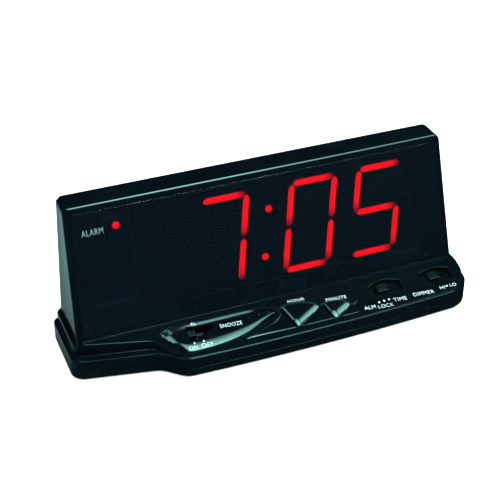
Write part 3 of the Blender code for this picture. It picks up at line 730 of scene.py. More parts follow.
# Front housing
housing = {
    "recess": 0.8,
    "pocketFloor": -2.8,
    "keyGap": 0.35,
    "lip": 0.28,
    "setSlot": (56.5, -8.2, 9.0),      # middle x and y, and length
    "dimmerSlot": (88.0, -8.2, 7.6),
    "swooshRise": 0.55,
    "swooshStart": -23.2,
    "swooshLength": 63.0,
    "through": (-6.0, 5.0),            # cutters that pass right through the deck
}


def swooshBlade():
    # a low raised blade along the front of the key recess, highest at its left tip
    rings = []
    count = 26
    for i in range(count + 1):
        t = i / count
        x = housing["swooshStart"] + housing["swooshLength"] * t
        rise = housing["swooshRise"] * (smooth(0.0, 0.10, t) * (1 - 0.82 * smooth(0.12, 0.5, t)) + 0.02)
        width = 0.35 + 1.5 * (1 - smooth(0.05, 0.5, t)) * smooth(0.0, 0.06, t)
        front = -19.75 - 0.15 * t
        rings.append([(x, front - 0.5 * width, -0.35), (x, front + 0.5 * width, rise),
                      (x, front + 0.5 * width + 0.5, rise * 0.8), (x, front + 0.5 * width + 0.9, -1.1)])
    made = meshObject("swoosh_blade", loft(rings, deckFrame))
    for outline in (hourOutline, minuteOutline):    # the blade stops at the key openings
        carve(made, [plateTool("key gap", grown(outline, housing["keyGap"]), *housing["through"])])
    made.data.shade_smooth()
    return fit(made, glossBlack, "case", "gloss_black")


def frontHousing():
    made = baseShell()
    made.name = "housing_front"
    upright = bodySolid("upright", layout["deckZ"] - 1.2)
    carve(upright, [seamTool("behind seam", layout["deckZ"] - 3, True)])
    carve(made, [upright], "UNION")
    hollow = plateTool("base hollow", grown(upperOutline, -base["wall"]), 4.0,
                       layout["deckZ"] - base["wall"], flat)
    carve(hollow, [boxTool("deck wall", (-130, -60, -2.0), (130, 0.0, 60), deckFrame)])
    skirt = plateTool("tier hollow", grown(lowerOutline, -base["wall"]), 4.0,
                      base["lowerTop"] - base["wall"], flat)
    carve(made, [hollow, skirt, bodySolid("body hollow", 15.0, body["wall"])])
    beds = [boxTool("set bed", (46.8, -15.2, -4.1), (69.2, -2.2, -0.9), deckFrame),
            boxTool("dimmer bed", (76.8, -15.2, -4.1), (97.4, -2.2, -0.9), deckFrame)]
    carve(made, beds, "UNION")
    carve(made, [pocketTool("window seat", windowOutline(0.0), -window["thick"] - 0.3, 0.0, 0.12, 3.0,
                            facePlane),
                 plateTool("window opening", windowOutline(1.6), -8.0, 3.0, facePlane)])
    recess = housing["recess"]
    carve(made, [pocketTool("recess", recessOutline, -recess, 0.0, 0.15, 3.0)])
    for outline, surface, lip in ((snoozeOutline, 0.0, housing["lip"]), (hourOutline, -recess, 0.2),
                                  (minuteOutline, -recess, 0.2)):
        carve(made, [pocketTool("key opening", grown(outline, housing["keyGap"]), -6.0, surface, lip, 4.0)])
    for name, outline, slot in (("set", setPocket, "setSlot"), ("dimmer", dimmerPocket, "dimmerSlot")):
        carve(made, [pocketTool(name + " pocket", outline, housing["pocketFloor"], 0.0, 0.12, 4.0)])
        x, y, length = housing[slot]
        carve(made, [plateTool(name + " slot", slotOutline(x, y, length, 3.0), -6.0, 0.0)])
    flush(made)
    return fit(made, glossBlack, "case", "gloss_black", "front_housing")


# Rear cover
rear = {
    "ventRows": (61.0, 70.0),
    "ventCount": 8,
    "ventPitch": 12.0,
    "ventStart": -42.0,
    "ventSize": (8.0, 2.0),
    "soundCentre": (-30.0, 42.0),
    "outlet": (52.0, 26.0, 4.9),
}


def rearCover():
    made = bodySolid("cover_rear", layout["deckZ"] + 0.4)
    carve(made, [seamTool("before seam", 5.0, False), bodySolid("rear hollow", 10.0, body["wall"])])
    plane = Matrix.Rotation(math.radians(90), 4, "X")   # x across, y up
    outlines = [slotOutline(rear["ventStart"] + rear["ventPitch"] * i, row, *rear["ventSize"])
                for row in rear["ventRows"] for i in range(rear["ventCount"])]
    soundX, soundY = rear["soundCentre"]
    for i in range(7):    # six sound holes round a seventh
        turn = math.radians(60 * i)
        reach = 0.0 if i == 6 else 5.0
        spot = (soundX + reach * math.cos(turn), soundY + reach * math.sin(turn))
        outlines.append(arcPoints(spot, 1.2, 0, 345, 23))
    x, z, radius = rear["outlet"]
    outlines.append(arcPoints((x, z), radius, 0, 352.5, 47))
    carve(made, [joined("openings", [plateTool("opening", o, -40.0, -15.0, plane) for o in outlines])])
    soften(made, 0.3, lambda p: p.y > bodyRear(p.z) - 0.1 and abs(p.x) < 70 and p.z > 20.5)
    flush(made)
    return fit(made, coverBlack, "case", "satin_black", "rear_cover")


# Bottom cover
cover = {
    "rim": 0.7,
    "floor": 2.8,
    "bay": ((-91.3, 4.8), (-42.2, 23.0)),
    "track": ((-91.9, 4.2), (-35.3, 23.7)),
    "frame": ((-93.3, 3.0), (-33.4, 25.0)),
    "ventCount": 9,
}
feet = ("foot_front_left", "foot_front_right", "foot_rear_left", "foot_rear_right")
caseScrews = ("case_screw_front_left", "case_screw_front_right", "case_screw_rear_left",
              "case_screw_rear_right")


def middleOf(node):
    low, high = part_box(node)
    return ((low.x + high.x) / 2 / mm, (low.y + high.y) / 2 / mm)


def bottomCover():
    low, top, rim = base["coverLow"], base["coverTop"], cover["rim"]
    rings = []
    for turn in quarterTurn(4):
        rings.append([(p[0] - w.x * rim * (1 - math.sin(turn)), p[1] - w.y * rim * (1 - math.sin(turn)),
                       low + rim * (1 - math.cos(turn))) for p, w in zip(lowerOutline, lowerWays)])
    rings.append([(x, y, top - 0.07) for x, y in lowerOutline])
    rings.append([(x, y, top) for x, y in grown(lowerOutline, -0.07)])
    made = meshObject("cover_bottom", loft(rings))
    carve(made, [plateTool("cover hollow", grown(lowerOutline, -base["wall"]), cover["floor"], 8.0, flat)])
    (fx0, fy0), (fx1, fy1) = cover["frame"]
    carve(made, [boxTool("bay frame", (fx0, fy0, 2.0), (fx1, fy1, 4.3))], "UNION")
    (bx0, by0), (bx1, by1) = cover["bay"]
    (tx0, ty0), (tx1, ty1) = cover["track"]
    carve(made, [boxTool("bay", (bx0, by0, 0.0), (bx1, by1, 8.0)),
                 boxTool("track", (tx0, ty0, 0.0), (tx1, ty1, cover["floor"]))])
    vents = []
    for i in range(cover["ventCount"]):
        x = -16.0 + 8.0 * i
        vents.append([(x - py, 10 + (px - x)) for px, py in slotOutline(x, 0.0, 14.0, 2.4)])
    for outlines, low, high in (
            ([arcPoints(middleOf(node), 4.5, 0, 350, 35) for node in feet], -1.0, 1.7),
            (vents, -1.0, 8.0),
            ([arcPoints(middleOf(node), 3.4, 0, 350, 35) for node in caseScrews], -1.0, 2.2),
            ([arcPoints(middleOf(node), 1.9, 0, 345, 23) for node in caseScrews], 0.0, 8.0)):
        carve(made, [joined("holes", [plateTool("hole", o, low, high, flat) for o in outlines])])
    flush(made)
    return fit(made, baseBlack, "case", "satin_black", "bottom_cover")


frontHousing()
swooshBlade()
rearCover()
bottomCover()
print("clock: shells ready")


# Window and display
def lensPlate():
    t = window["thick"]
    outline = windowOutline(layout["gap"])
    rings = [[(x, y, -t) for x, y in outline]]
    for turn in quarterTurn(3):
        rings.append([(x, y, -0.15 + 0.15 * math.sin(turn))
                      for x, y in grown(outline, -0.15 * (1 - math.cos(turn)))])
    made = meshObject("lens_window", loft(rings, facePlane))
    flush(made, 50.0)
    return fit(made, windowSmoke, "case", "smoked_lens", "display_lens")


digits = {
    "width": 22.9,             # between the middles of the upright bars
    "height": 43.2,
    "bar": 3.0,                # thickness of a lit bar
    "slant": 9.89,             # degrees
    "foot": 12.64,             # height of the lowest bar above the window's foot
    "places": (-39.0, 7.65, 43.87),
    "shown": "705",
    "gap": 0.62,
    "depth": -1.97,            # in front of the display sheet
    "sight": (0.95, -0.25),    # seen through the window, the bars look a little left and high
    "colon": (-4.0, (33.34, 9.56), 1.745),
    "lamp": (-74.05, 53.64, 1.76),
}
barsOf = {"0": "abcdef", "5": "acdfg", "7": "abc"}


def barOutline(first, last):
    # a bar with pointed ends between two corners of the digit, in upright coordinates
    a, b = Vector(first), Vector(last)
    along = (b - a).normalized()
    across = Vector((-along.y, along.x))
    half, gap = digits["bar"] / 2, digits["gap"]
    a = a + along * gap
    b = b - along * gap
    cut = half * 0.92
    points = []
    for end, way in ((a, 1), (b, -1)):
        for side, shift in ((-1, cut), (-0.28, 0.12), (0.28, 0.12), (1, cut)):
            points.append(end + along * way * shift + across * side * way * half)
    return points


def digitBars(name, symbol, placeX):
    w, h = digits["width"], digits["height"]
    corners = {"a": ((0, h), (w, h)), "b": ((w, h), (w, h / 2)), "c": ((w, h / 2), (w, 0)),
               "d": ((w, 0), (0, 0)), "e": ((0, h / 2), (0, 0)), "f": ((0, h), (0, h / 2)),
               "g": ((0, h / 2), (w, h / 2))}
    lean = math.tan(math.radians(digits["slant"]))
    sightX, sightY = digits["sight"]

    def seated(x, y, depth):
        # a point of the upright digit, leaned and placed behind the window
        return facePlane @ (Vector((placeX + sightX + x + y * lean,
                                    digits["foot"] + sightY + y, depth)) * mm)

    bm = bmesh.new()
    glow = bm.verts.layers.float.new("glow")
    for key in barsOf[symbol]:
        first, last = corners[key]
        if key == "d":
            first, last = last, first
        outline = barOutline(first, last)
        face = [[bm.verts.new(seated(x, y, depth)) for x, y in outline]
                for depth in (digits["depth"] - 0.1, digits["depth"])]
        count = len(outline)
        for i in range(count):
            k = (i + 1) % count
            bm.faces.new((face[0][i], face[0][k], face[1][k], face[1][i]))
        bm.faces.new(face[0][::-1])
        bm.faces.new(face[1])
        created = {v for row in face for v in row}
        origin = seated(*first, digits["depth"])
        target = seated(*last, digits["depth"])
        direction = (target - origin).normalized()
        length = (target - origin).length
        faces = [f for f in bm.faces if set(f.verts) <= created]
        for cut in range(1, 14):
            geometry = faces + list({e for f in faces for e in f.edges}) + list(created)
            made = bmesh.ops.bisect_plane(bm, geom=geometry, dist=1e-7,
                                          plane_co=origin + direction * length * cut / 14,
                                          plane_no=direction)
            faces = [g for g in made["geom"] if isinstance(g, bmesh.types.BMFace)]
            created = {v for f in faces for v in f.verts}
        for vertex in created:
            t = (vertex.co - origin).dot(direction) / length
            start = smooth(-0.05, 0.12, t) * 0.5 + 0.5
            vertex[glow] = start * (1 - 0.96 * smooth(0.70, 0.98, t))
    made = meshObject(name, bm)
    return fit(made, redSegment, "case", "lamp_red")


def glowDisc(name, x, y, radius):
    # a round lit spot with a slightly domed front
    sightX, sightY = digits["sight"]
    spot = facePlane @ Matrix.Translation(Vector((x + sightX, y + sightY, digits["depth"])) * mm)
    made = turned(name, [(radius, -0.1), (radius, 0.0), (radius * 0.8, 0.05), (radius * 0.4, 0.08)],
                  spot, 32)
    attribute = made.data.attributes.new("glow", "FLOAT", "POINT")
    attribute.data.foreach_set("value", [1.0] * len(made.data.vertices))
    return fit(made, redSegment, "case", "lamp_red")


lensPlate()
for i, symbol in enumerate(digits["shown"]):
    digitBars("digit_" + ("hours", "tens", "units")[i], symbol, digits["places"][i])
colonX, colonRows, colonRadius = digits["colon"]
for i, row in enumerate(colonRows):
    lean = row * math.tan(math.radians(digits["slant"]))
    glowDisc("colon_" + ("upper", "lower")[i], colonX + lean, digits["foot"] + row, colonRadius)
glowDisc("alarm_lamp_glow", *digits["lamp"])
print("clock: display ready")


# Snooze bar
snooze = {
    "plateau": 1.15,
    "frontEdge": 0.05,
    "rearRise": 0.52,
    "rearWidth": 2.6,
    "edgeRound": 0.35,
    "low": -2.0,
}


def snoozeRidge(x):
    # where the front bevel of the bar starts, on the slope
    t = (x + 60.0) / 60.0
    return -13.6 + 1.4 * smooth(0.0, 0.45, t) + 2.3 * smooth(0.55, 1.0, t)


def snoozeFront(x):
    # the bar's front edge at x
    best = 0.0
    for i in range(len(snoozeOutline)):
        ax, ay = snoozeOutline[i - 1]
        bx, by = snoozeOutline[i]
        if min(ax, bx) <= x <= max(ax, bx) and abs(bx - ax) > 1e-6:
            best = min(best, ay + (by - ay) * (x - ax) / (bx - ax))
    return best


def edgeDrop(edge, radius):
    # how far a rounded edge has fallen at a distance from the outline
    if edge >= radius:
        return 0.0
    return radius - math.sqrt(max(0.0, radius ** 2 - (radius - edge) ** 2))


def snoozeHeight(x, y):
    # bevelled to the front and the left tip, with a raised strip along the rear
    front = snoozeFront(max(-60.2, min(-1.2, x)))
    ridge = max(snoozeRidge(x) + 1.2, front + 0.5)
    t = max(0.0, min(1.0, (ridge - y) / max(ridge - front, 0.5)))
    height = snooze["plateau"] - (snooze["plateau"] - snooze["frontEdge"]) * t * t
    left = max(0.0, min(1.0, (-53.5 - x - 0.45 * (y + 9.0)) / 5.0))
    height -= 0.7 * left * left
    wide = snooze["rearWidth"] + 1.6 * (1 - smooth(-56.0, -44.0, x))
    r = max(0.0, min(1.0, (y - (-3.3 - wide)) / wide))
    height += snooze["rearRise"] * r * smooth(-61.0, -57.0, x) * (1 - smooth(-16.0, -1.0, x))
    return height - edgeDrop(distanceTo(snoozeOutline, x, y), snooze["edgeRound"])


def inside(outline, x, y):
    found = False
    for i in range(len(outline)):
        ax, ay = outline[i - 1]
        bx, by = outline[i]
        if (ay > y) != (by > y) and x < (bx - ax) * (y - ay) / (by - ay) + ax:
            found = not found
    return found


def crowned(name, outline, low, heightAt, step, insets=(0.0, 0.03, 0.1, 0.2, 0.35)):
    # a cap whose top follows a height rule, with close rings near its edge and a grid inside
    bm = bmesh.new()
    rows = [[bm.verts.new((x, y, low)) for x, y in outline]]
    for inset in insets:
        ring = grown(outline, -inset)
        rows.append([bm.verts.new((x, y, heightAt(x, y))) for x, y in ring])
    count = len(outline)
    for lower, upper in zip(rows, rows[1:]):
        for i in range(count):
            k = (i + 1) % count
            bm.faces.new((lower[i], lower[k], upper[k], upper[i]))
    bm.faces.new(rows[0][::-1])
    spots = list(ring)
    y = min(p[1] for p in ring)
    while y < max(p[1] for p in ring):
        x = min(p[0] for p in ring)
        while x < max(p[0] for p in ring):
            if inside(ring, x, y) and distanceTo(ring, x, y) > 0.35 * step:
                spots.append((x, y))
            x += step
        y += step
    edges = [(i, (i + 1) % count) for i in range(count)]
    filled = delaunay_2d_cdt([Vector(p) for p in spots], edges, [], 1, 1e-6)
    vertices = list(rows[-1])
    vertices += [bm.verts.new((p.x, p.y, heightAt(p.x, p.y))) for p in filled[0][count:]]
    for face in filled[2]:
        bm.faces.new([vertices[i] for i in face])
    bmesh.ops.scale(bm, vec=(mm, mm, mm), verts=bm.verts)
    bm.transform(deckFrame)
    return meshObject(name, bm)


def snoozeBar():
    made = crowned("bar_snooze", snoozeOutline, snooze["low"], snoozeHeight, 0.6)
    carve(made, [turned("snooze stem", [(2.0, -3.4), (2.0, -1.5)],
                        deckFrame @ Matrix.Translation(Vector((-22, -11, 0)) * mm), 24)], "UNION")
    carve(made, [plateTool("alarm hole", alarmHole, *housing["through"])])
    polish(made)
    return fit(made, keyBlack, "snooze", "gloss_black", "snooze_bar")


def tactileDots():
    dots = []
    for x, y in ((-16.3, -8.4), (-11.0, -8.0), (-5.8, -7.8)):
        place = deckFrame @ Matrix.Translation(Vector((x, y, snoozeHeight(x, y) - 0.1)) * mm)
        dots.append(turned("dot", [(0.55, 0.0), (0.53, 0.15), (0.42, 0.3), (0.2, 0.38)], place, 20))
    made = joined("tactile_dots", dots)
    made.data.shade_smooth()
    return fit(made, keyBlack, "snooze", "gloss_black")


snoozeBar()
tactileDots()


# Hour and minute buttons
buttons = {
    "hour": {"outline": hourOutline, "stem": (9.5, -10.5),
             "sides": ((1.6, -6.4), (5.6, -19.4), (20.6, -11.2))},
    "minute": {"outline": minuteOutline, "stem": (28.0, -13.2),
               "sides": ((22.6, -10.0), (25.9, -19.8), (36.4, -14.2))},
    "top": 0.9,
    "drops": (0.50, 0.78),    # how far the two facets fall, left and right
    "reach": (3.0, 4.6),      # and how far they reach in
}


def sideDistance(x, y, first, last):
    dx, dy = last[0] - first[0], last[1] - first[1]
    return abs((x - first[0]) * dy - (y - first[1]) * dx) / math.hypot(dx, dy)


def buttonHeight(facts):
    # the height rule of one button: flat, with a hollow facet along each side of its tip
    left, tip, right = facts["sides"]

    def height(x, y):
        falls = []
        for side, drop, reach in zip(((left, tip), (tip, right)), buttons["drops"], buttons["reach"]):
            near = 1 - min(1.0, sideDistance(x, y, *side) / reach)
            falls.append(drop * near * near)
        z = buttons["top"] - min(sum(falls), 1.3 * max(buttons["drops"]))
        return z - edgeDrop(distanceTo(facts["outline"], x, y), snooze["edgeRound"])
    return height


for key in ("hour", "minute"):
    facts = buttons[key]
    cap = crowned("button_" + key, facts["outline"], -3.0, buttonHeight(facts), 0.36)
    stem = turned("stem", [(1.6, -3.4), (1.6, -2.0)],
                  deckFrame @ Matrix.Translation(Vector((*facts["stem"], 0)) * mm), 24)
    flange = plateTool("flange", grown(facts["outline"], 0.9), -3.0, -2.35)
    carve(cap, [stem, flange], "UNION")
    polish(cap)
    fit(cap, keyBlack, key, "gloss_black", key + "_button")
print("clock: keys ready")


# Slide knobs
knobs = {
    "alarm": {"centre": (-45.9, -8.6), "size": (3.8, 3.4), "low": -4.2, "high": 0.3},
    "set": {"centre": (56.5, -8.2), "size": (6.0, 4.6), "low": -2.5, "high": -0.5},
    "dimmer": {"centre": (86.0, -8.2), "size": (6.0, 4.6), "low": -2.5, "high": -0.5},
}
for key, facts in knobs.items():
    x, y = facts["centre"]
    w, d = facts["size"]
    low, high = facts["low"], facts["high"]
    knob = roundedBlock("knob_" + key, (x - w / 2, y - d / 2, low), (x + w / 2, y + d / 2, high), 0.4,
                        deckFrame)
    carve(knob, [roundedBlock("stem", (x - 0.8, y - 0.8, -6.0), (x + 0.8, y + 0.8, low + 0.5), 0.1,
                              deckFrame)], "UNION")
    grips = []
    for side in (-1, 0, 1):
        ridge = Matrix.Translation(Vector((x + side * 1.1, y, high + 0.05)) * mm)
        ridge = ridge @ Matrix.Rotation(math.radians(90), 4, "X")
        grips.append(turned("grip", [(0.32, -d), (0.32, d)], deckFrame @ ridge, 16))
    carve(knob, [joined("grips", grips)])
    flush(knob)
    fit(knob, knobBlack, key + "_slider", "satin_black", key + "_knob")


# Underside pieces: door, feet, screws, and the gland behind
def batteryDoor():
    low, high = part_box("battery_door")
    low, high = low / mm, high / mm
    made = roundedBlock("door_battery", low, high, 0.25)
    ridges = []
    for i in range(4):
        x = high.x - 9.4 + 2.2 * i
        ridges.append(roundedBlock("groove", (x - 0.5, 9.0, 0.2), (x + 0.5, 19.0, 1.5), 0.2))
    x = high.x - 18.0
    arrow = plateTool("arrow", [(x, 11.0), (x + 5.0, 14.0), (x, 17.0)], 0.2, 1.25, flat)
    carve(made, [joined("grooves", ridges + [arrow])])
    flush(made)
    return fit(made, baseBlack, "door", "satin_black", "battery_door")


batteryDoor()
for node in feet:
    x, y = middleOf(node)
    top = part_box(node)[1].z / mm
    made = turned("pad_" + node, [(1.2, 0.15), (3.3, 0.0), (4.0, 0.12), (4.2, 0.45), (4.2, top)],
                  Matrix.Translation(Vector((x, y, 0)) * mm))
    flush(made, 40)
    fit(made, footRubber, "case", "foot_rubber", node)
for node in caseScrews:
    x, y = middleOf(node)
    low, high = (corner.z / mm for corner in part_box(node))
    place = Matrix.Translation(Vector((x, y, low)) * mm)
    threads = [(1.35 - 0.22 * (i % 2), 1.5 + 0.5 * i) for i in range(int((high - low - 2.0) / 0.5))]
    head = [(1.6, 0.0), (2.6, 0.12), (3.0, 0.5), (3.0, 1.2), (1.35, 1.3)]
    made = turned("fixing_" + node, head + threads + [(0.3, high - low)], place, 28)
    carve(made, [roundedBlock("cross", (x - a, y - b, low - 1), (x + a, y + b, low + 0.8), 0.05)
                 for a, b in ((1.7, 0.3), (0.3, 1.7))])
    flush(made, 40)
    fit(made, screwSteel, "case", "screw_steel", node)


def cordGland():
    x, z, radius = rear["outlet"]
    place = Matrix.Translation(Vector((x, 0, z)) * mm) @ Matrix.Rotation(math.radians(-90), 4, "X")
    profile = [(4.6, 22.2), (4.6, 26.5), (6.1, 26.5), (6.2, 27.0), (6.0, 27.9), (5.5, 28.4),
               (3.9, 28.4), (3.4, 28.0), (3.4, 22.2)]
    made = turned("gland_cord", profile, place, 48)
    bm = bmesh.new()    # the closed ends give way to a bore for the cord
    bm.from_mesh(made.data)
    ends = [face for face in bm.faces if len(face.verts) > 4]
    bmesh.ops.delete(bm, geom=ends, context="FACES_ONLY")
    loops = [edge for edge in bm.edges if len(edge.link_faces) == 1]
    bmesh.ops.bridge_loops(bm, edges=loops)
    bmesh.ops.recalc_face_normals(bm, faces=bm.faces[:])
    bm.to_mesh(made.data)
    bm.free()
    flush(made, 40)
    return fit(made, footRubber, "case", "component_black", "cord_gland")


cordGland()
print("clock: fittings ready")


# Printed words and marks
captions = [   # words, lower left corner, width, height, body
    ("SNOOZE", (-31.8, -10.3), 11.2, 2.2, "snooze"),
    ("ON", (-50.1, -18.0), 4.2, 2.0, "snooze"),
    ("OFF", (-44.0, -18.1), 5.8, 2.0, "snooze"),
    ("AL", (-45.4, -4.9), 3.0, 1.5, "snooze"),
    ("HOUR", (6.2, -4.3), 8.7, 1.6, "case"),
    ("MINUTE", (25.1, -9.0), 10.8, 1.9, "case"),
    ("ALM", (41.6, -19.5), 6.0, 2.1, "case"),
    ("LOCK", (48.9, -20.6), 8.2, 2.1, "case"),
    ("TIME", (58.3, -18.8), 7.0, 2.1, "case"),
    ("DIMMER", (69.6, -18.6), 11.2, 2.1, "case"),
    ("HI", (84.9, -18.2), 2.7, 1.8, "case"),
    ("LO", (90.7, -18.0), 3.5, 1.8, "case"),
]


printing = {
    "weight": -0.012,          # thins the letters a little
    "spacing": 1.08,
    "turn": -4.0,              # degrees that the words on the deck are turned
    "sunk": -0.02,
    "raised": 0.045,
}


def deckSurface(x, y):
    return 0.0


def lettering(words, corner, width, height, surface, matrix, turn=0.0):
    curve = bpy.data.curves.new(words, "FONT")
    curve.body = words
    curve.size = 1.0
    curve.offset = printing["weight"]
    curve.resolution_u = 4
    curve.space_character = printing["spacing"]
    holder = bpy.data.objects.new(words, curve)
    bpy.context.scene.collection.objects.link(holder)
    bpy.context.view_layer.update()
    seen = holder.evaluated_get(bpy.context.evaluated_depsgraph_get())
    mesh = bpy.data.meshes.new_from_object(seen)
    bpy.data.objects.remove(holder, do_unlink=True)
    bm = bmesh.new()
    bm.from_mesh(mesh)
    bpy.data.meshes.remove(mesh)
    lowX, highX = min(v.co.x for v in bm.verts), max(v.co.x for v in bm.verts)
    lowY, highY = min(v.co.y for v in bm.verts), max(v.co.y for v in bm.verts)
    bmesh.ops.remove_doubles(bm, verts=bm.verts, dist=1e-5)
    for vertex in bm.verts:
        x = (vertex.co.x - lowX) / (highX - lowX) * width
        y = (vertex.co.y - lowY) / (highY - lowY) * height
        x, y = (x * math.cos(turn) - y * math.sin(turn), x * math.sin(turn) + y * math.cos(turn))
        vertex.co = (corner[0] + x, corner[1] + y, 0.0)
    extruded = bmesh.ops.extrude_face_region(bm, geom=bm.faces[:])
    raised = {g for g in extruded["geom"] if isinstance(g, bmesh.types.BMVert)}
    for vertex in bm.verts:
        lift = printing["raised"] if vertex in raised else printing["sunk"]
        vertex.co.z = surface(vertex.co.x, vertex.co.y) + lift
    bmesh.ops.scale(bm, vec=(mm, mm, mm), verts=bm.verts)
    bm.transform(matrix)
    return meshObject("print", bm)


def mark(x, y, outline, surface):
    rings = [[(x + px, y + py, surface(x + px, y + py) + z) for px, py in outline]
             for z in (printing["sunk"], printing["raised"])]
    return meshObject("mark", loft(rings, deckFrame))


captionTurn = math.radians(printing["turn"])
for words, corner, width, height, rides in captions:
    surface = snoozeHeight if rides == "snooze" else deckSurface
    printed = lettering(words, corner, width, height, surface, deckFrame, captionTurn)
    printed.name = "caption_" + words.lower()
    fit(printed, whiteInk, rides, "gloss_black")
alarmWord = lettering("ALARM", (-90.0, 51.3), 10.3, 2.9, deckSurface, facePlane)
alarmWord.name = "caption_alarm"
fit(alarmWord, greyInk, "case", "smoked_lens")
tick = [(-0.55, -0.4), (0.55, -0.4), (0.0, 0.55)]
ticks = joined("caption_ticks", [mark(x, -15.0, tick, snoozeHeight) for x in (-46.8, -42.1)])
fit(ticks, whiteInk, "snooze", "gloss_black")
dot = arcPoints((0, 0), 0.5, 0, 330, 11)
spots = [(50.6, -17.0), (53.5, -16.8), (56.2, -16.7), (89.0, -17.1)]
dots = joined("caption_dots", [mark(x, y, dot, deckSurface) for x, y in spots])
fit(dots, whiteInk, "case", "gloss_black")
print("clock: captions ready")


# Inner pieces keep their CAD shape and get their own finishes
inner = {
    ("led_display",): speckled("reflector", (0.42, 0.42, 0.40), (0.52, 0.52, 0.50), 500.0, 0.6),
    ("display_sheet",): speckled("display sheet", (0.004, 0.002, 0.002), (0.008, 0.003, 0.003), 700.0, 0.7,
                                 specular=0.1),
    ("alarm_lamp",): speckled("lamp body", (0.10, 0.004, 0.004), (0.16, 0.006, 0.006), 600.0, 0.3),
    ("main_board",): banded("main board", (0.012, 0.10, 0.04), (0.02, 0.15, 0.06), 260.0, "X", 0.4),
    ("key_board",): banded("key board", (0.030, 0.018, 0.008), (0.045, 0.028, 0.013), 220.0, "X", 0.55),
    ("clock_chip", "buzzer", "battery_snap"): speckled("component black", (0.010, 0.010, 0.011),
                                                       (0.022, 0.022, 0.024), 1200.0, 0.5),
    ("filter_capacitor",): banded("capacitor sleeve", (0.012, 0.03, 0.09), (0.02, 0.05, 0.14), 90.0,
                                  "Z", 0.35),
    ("transformer_core",): banded("core laminations", (0.10, 0.10, 0.11), (0.24, 0.24, 0.25), 400.0,
                                  "Y", 0.45, 0.8),
    ("transformer_winding",): banded("winding tape", (0.40, 0.28, 0.05), (0.52, 0.38, 0.10), 120.0,
                                     "Z", 0.5),
    ("backup_battery",): speckled("battery sleeve", (0.07, 0.07, 0.08), (0.13, 0.13, 0.14), 240.0,
                                  0.35, 0.4),
    ("ribbon_cable",): banded("ribbon cable", (0.34, 0.34, 0.35), (0.55, 0.55, 0.56), 330.0, "X", 0.5),
    ("alarm_switch", "set_switch", "dimmer_switch"): speckled("switch can", (0.018, 0.018, 0.02),
                                                              (0.03, 0.03, 0.033), 800.0, 0.5, 0.3),
    ("snooze_switch", "hour_switch", "minute_switch", "snooze_plunger", "hour_plunger",
     "minute_plunger"): speckled("switch black", (0.012, 0.012, 0.013), (0.03, 0.03, 0.032), 1000.0, 0.45),
    ("display_screw_left", "display_screw_right", "key_board_screw_left", "key_board_screw_middle",
     "key_board_screw_right"): screwSteel,
}
for names, material in inner.items():
    for name in names:
        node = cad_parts[name]
        node.data.materials.clear()
        node.data.materials.append(material)


# Studio
studio = {
    "roomLight": 1.2,          # even light all round, left out of reflections
    "boxColour": (0.74, 1.0, 0.95),
    "boxes": [                 # softboxes: name, direction, distance, width, height, brightness
        ("key softbox", (0.21, -0.33, 0.92), 1.0, 0.64, 0.95, 19.0),
        ("left softbox", (-0.20, 0.16, 0.968), 1.0, 0.40, 0.40, 9.0),
        ("right softbox", (0.571, -0.113, 0.81), 1.0, 0.50, 0.50, 12.0),
    ],
    "cards": [                 # where each card starts and is full, to the side and to the back
        {"x": (-0.088, -0.125), "y": (-0.02, 0.05), "colour": (0.36, 0.66, 0.61)},
        {"x": (0.112, 0.150), "y": (-0.06, 0.05), "colour": (0.30, 0.50, 0.52)},
    ],
}


def softbox(name, way, distance, width, height, brightness):
    # a round light that fades to its rim
    data = bpy.data.lights.new(name, "AREA")
    data.shape = "ELLIPSE"
    data.color = studio["boxColour"]
    data.size = width
    data.size_y = height
    data.energy = brightness * math.pi ** 2 * width * height / 4
    data.use_nodes = True
    tree = data.node_tree
    spot = tree.nodes.new("ShaderNodeNewGeometry")
    centred = tree.nodes.new("ShaderNodeVectorMath")
    centred.operation = "DISTANCE"
    centred.inputs[1].default_value = (0.5, 0.5, 0.0)
    tree.links.new(spot.outputs["Parametric"], centred.inputs[0])
    fade = rangeNode(tree, centred.outputs["Value"], 1.0, 0.0, 0.12, 0.5)
    tree.links.new(fade.outputs["Result"], tree.nodes["Emission"].inputs["Strength"])
    made = bpy.data.objects.new(name, data)
    made.location = Vector(way).normalized() * distance
    made.rotation_euler = (-made.location).to_track_quat("-Z", "Y").to_euler()
    made.visible_camera = False
    bpy.context.scene.collection.objects.link(made)


for box in studio["boxes"]:
    softbox(*box)

floorMaterial = bpy.data.materials.new("studio paper")
floorMaterial.use_nodes = True
tree = floorMaterial.node_tree
paper = tree.nodes["Principled BSDF"]
grainNoise = noiseNode(tree, 60.0, 3.0)
paperRamp = rampNode(tree, grainNoise.outputs["Fac"],
                     [(0.3, (0.86, 0.86, 0.86)), (0.7, (0.90, 0.90, 0.90))])
tree.links.new(paperRamp.outputs["Color"], paper.inputs["Base Color"])
paper.inputs["Roughness"].default_value = 0.9
paper.inputs["Emission Color"].default_value = (1, 1, 1, 1)
paper.inputs["Emission Strength"].default_value = 0.35
paper.inputs["Specular IOR Level"].default_value = 0.1
path = tree.nodes.new("ShaderNodeLightPath")
glow = tree.nodes.new("ShaderNodeEmission")
mix = tree.nodes.new("ShaderNodeMixShader")
place = tree.nodes.new("ShaderNodeTexCoord")
apart = tree.nodes.new("ShaderNodeSeparateXYZ")
tree.links.new(place.outputs["Object"], apart.inputs["Vector"])


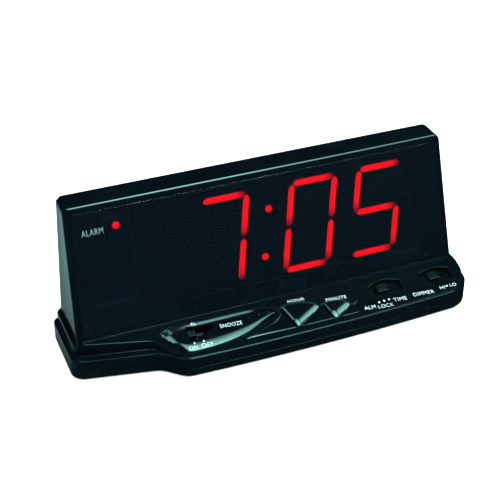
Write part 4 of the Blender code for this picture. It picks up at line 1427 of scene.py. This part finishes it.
def floorCard(facts):
    # a part of the floor that shines in reflections, on one side and towards the back
    sideways = rangeNode(tree, apart.outputs["X"], 0.0, 1.0, *facts["x"])
    backward = rangeNode(tree, apart.outputs["Y"], 0.0, 1.0, *facts["y"])
    both = tree.nodes.new("ShaderNodeMath")
    both.operation = "MULTIPLY"
    tree.links.new(sideways.outputs["Result"], both.inputs[0])
    tree.links.new(backward.outputs["Result"], both.inputs[1])
    return rampNode(tree, both.outputs["Value"], [(0.0, (0.0, 0.0, 0.0)), (1.0, facts["colour"])])


cards = tree.nodes.new("ShaderNodeVectorMath")
cards.operation = "ADD"
for i, facts in enumerate(studio["cards"]):
    tree.links.new(floorCard(facts).outputs["Color"], cards.inputs[i])
tree.links.new(cards.outputs["Vector"], glow.inputs["Color"])
output = tree.nodes["Material Output"]
tree.links.new(path.outputs["Is Glossy Ray"], mix.inputs["Fac"])
tree.links.new(paper.outputs["BSDF"], mix.inputs[1])
tree.links.new(glow.outputs["Emission"], mix.inputs[2])
tree.links.new(mix.outputs["Shader"], output.inputs["Surface"])
rim = arcPoints((0, 0), 1.0, 0, 354, 59)
floor = meshObject("studio_floor", loft([[(x * 900, y * 900, z) for x, y in rim] for z in (-3.0, 0.0)]))
floor.data.materials.append(floorMaterial)

world = bpy.data.worlds.new("studio")
bpy.context.scene.world = world
world.use_nodes = True
around = world.node_tree.nodes["Background"]
around.inputs["Color"].default_value = (1, 1, 1, 1)
path = world.node_tree.nodes.new("ShaderNodeLightPath")
mirrored = world.node_tree.nodes.new("ShaderNodeMath")
mirrored.operation = "MAXIMUM"
world.node_tree.links.new(path.outputs["Is Glossy Ray"], mirrored.inputs[0])
world.node_tree.links.new(path.outputs["Is Transmission Ray"], mirrored.inputs[1])
room = rangeNode(world.node_tree, mirrored.outputs["Value"], studio["roomLight"], 0.0, 0.0, 1.0)
world.node_tree.links.new(room.outputs["Result"], around.inputs["Strength"])
world.cycles_visibility.glossy = False
bpy.context.scene.view_settings.view_transform = "Standard"
print("clock: studio ready")
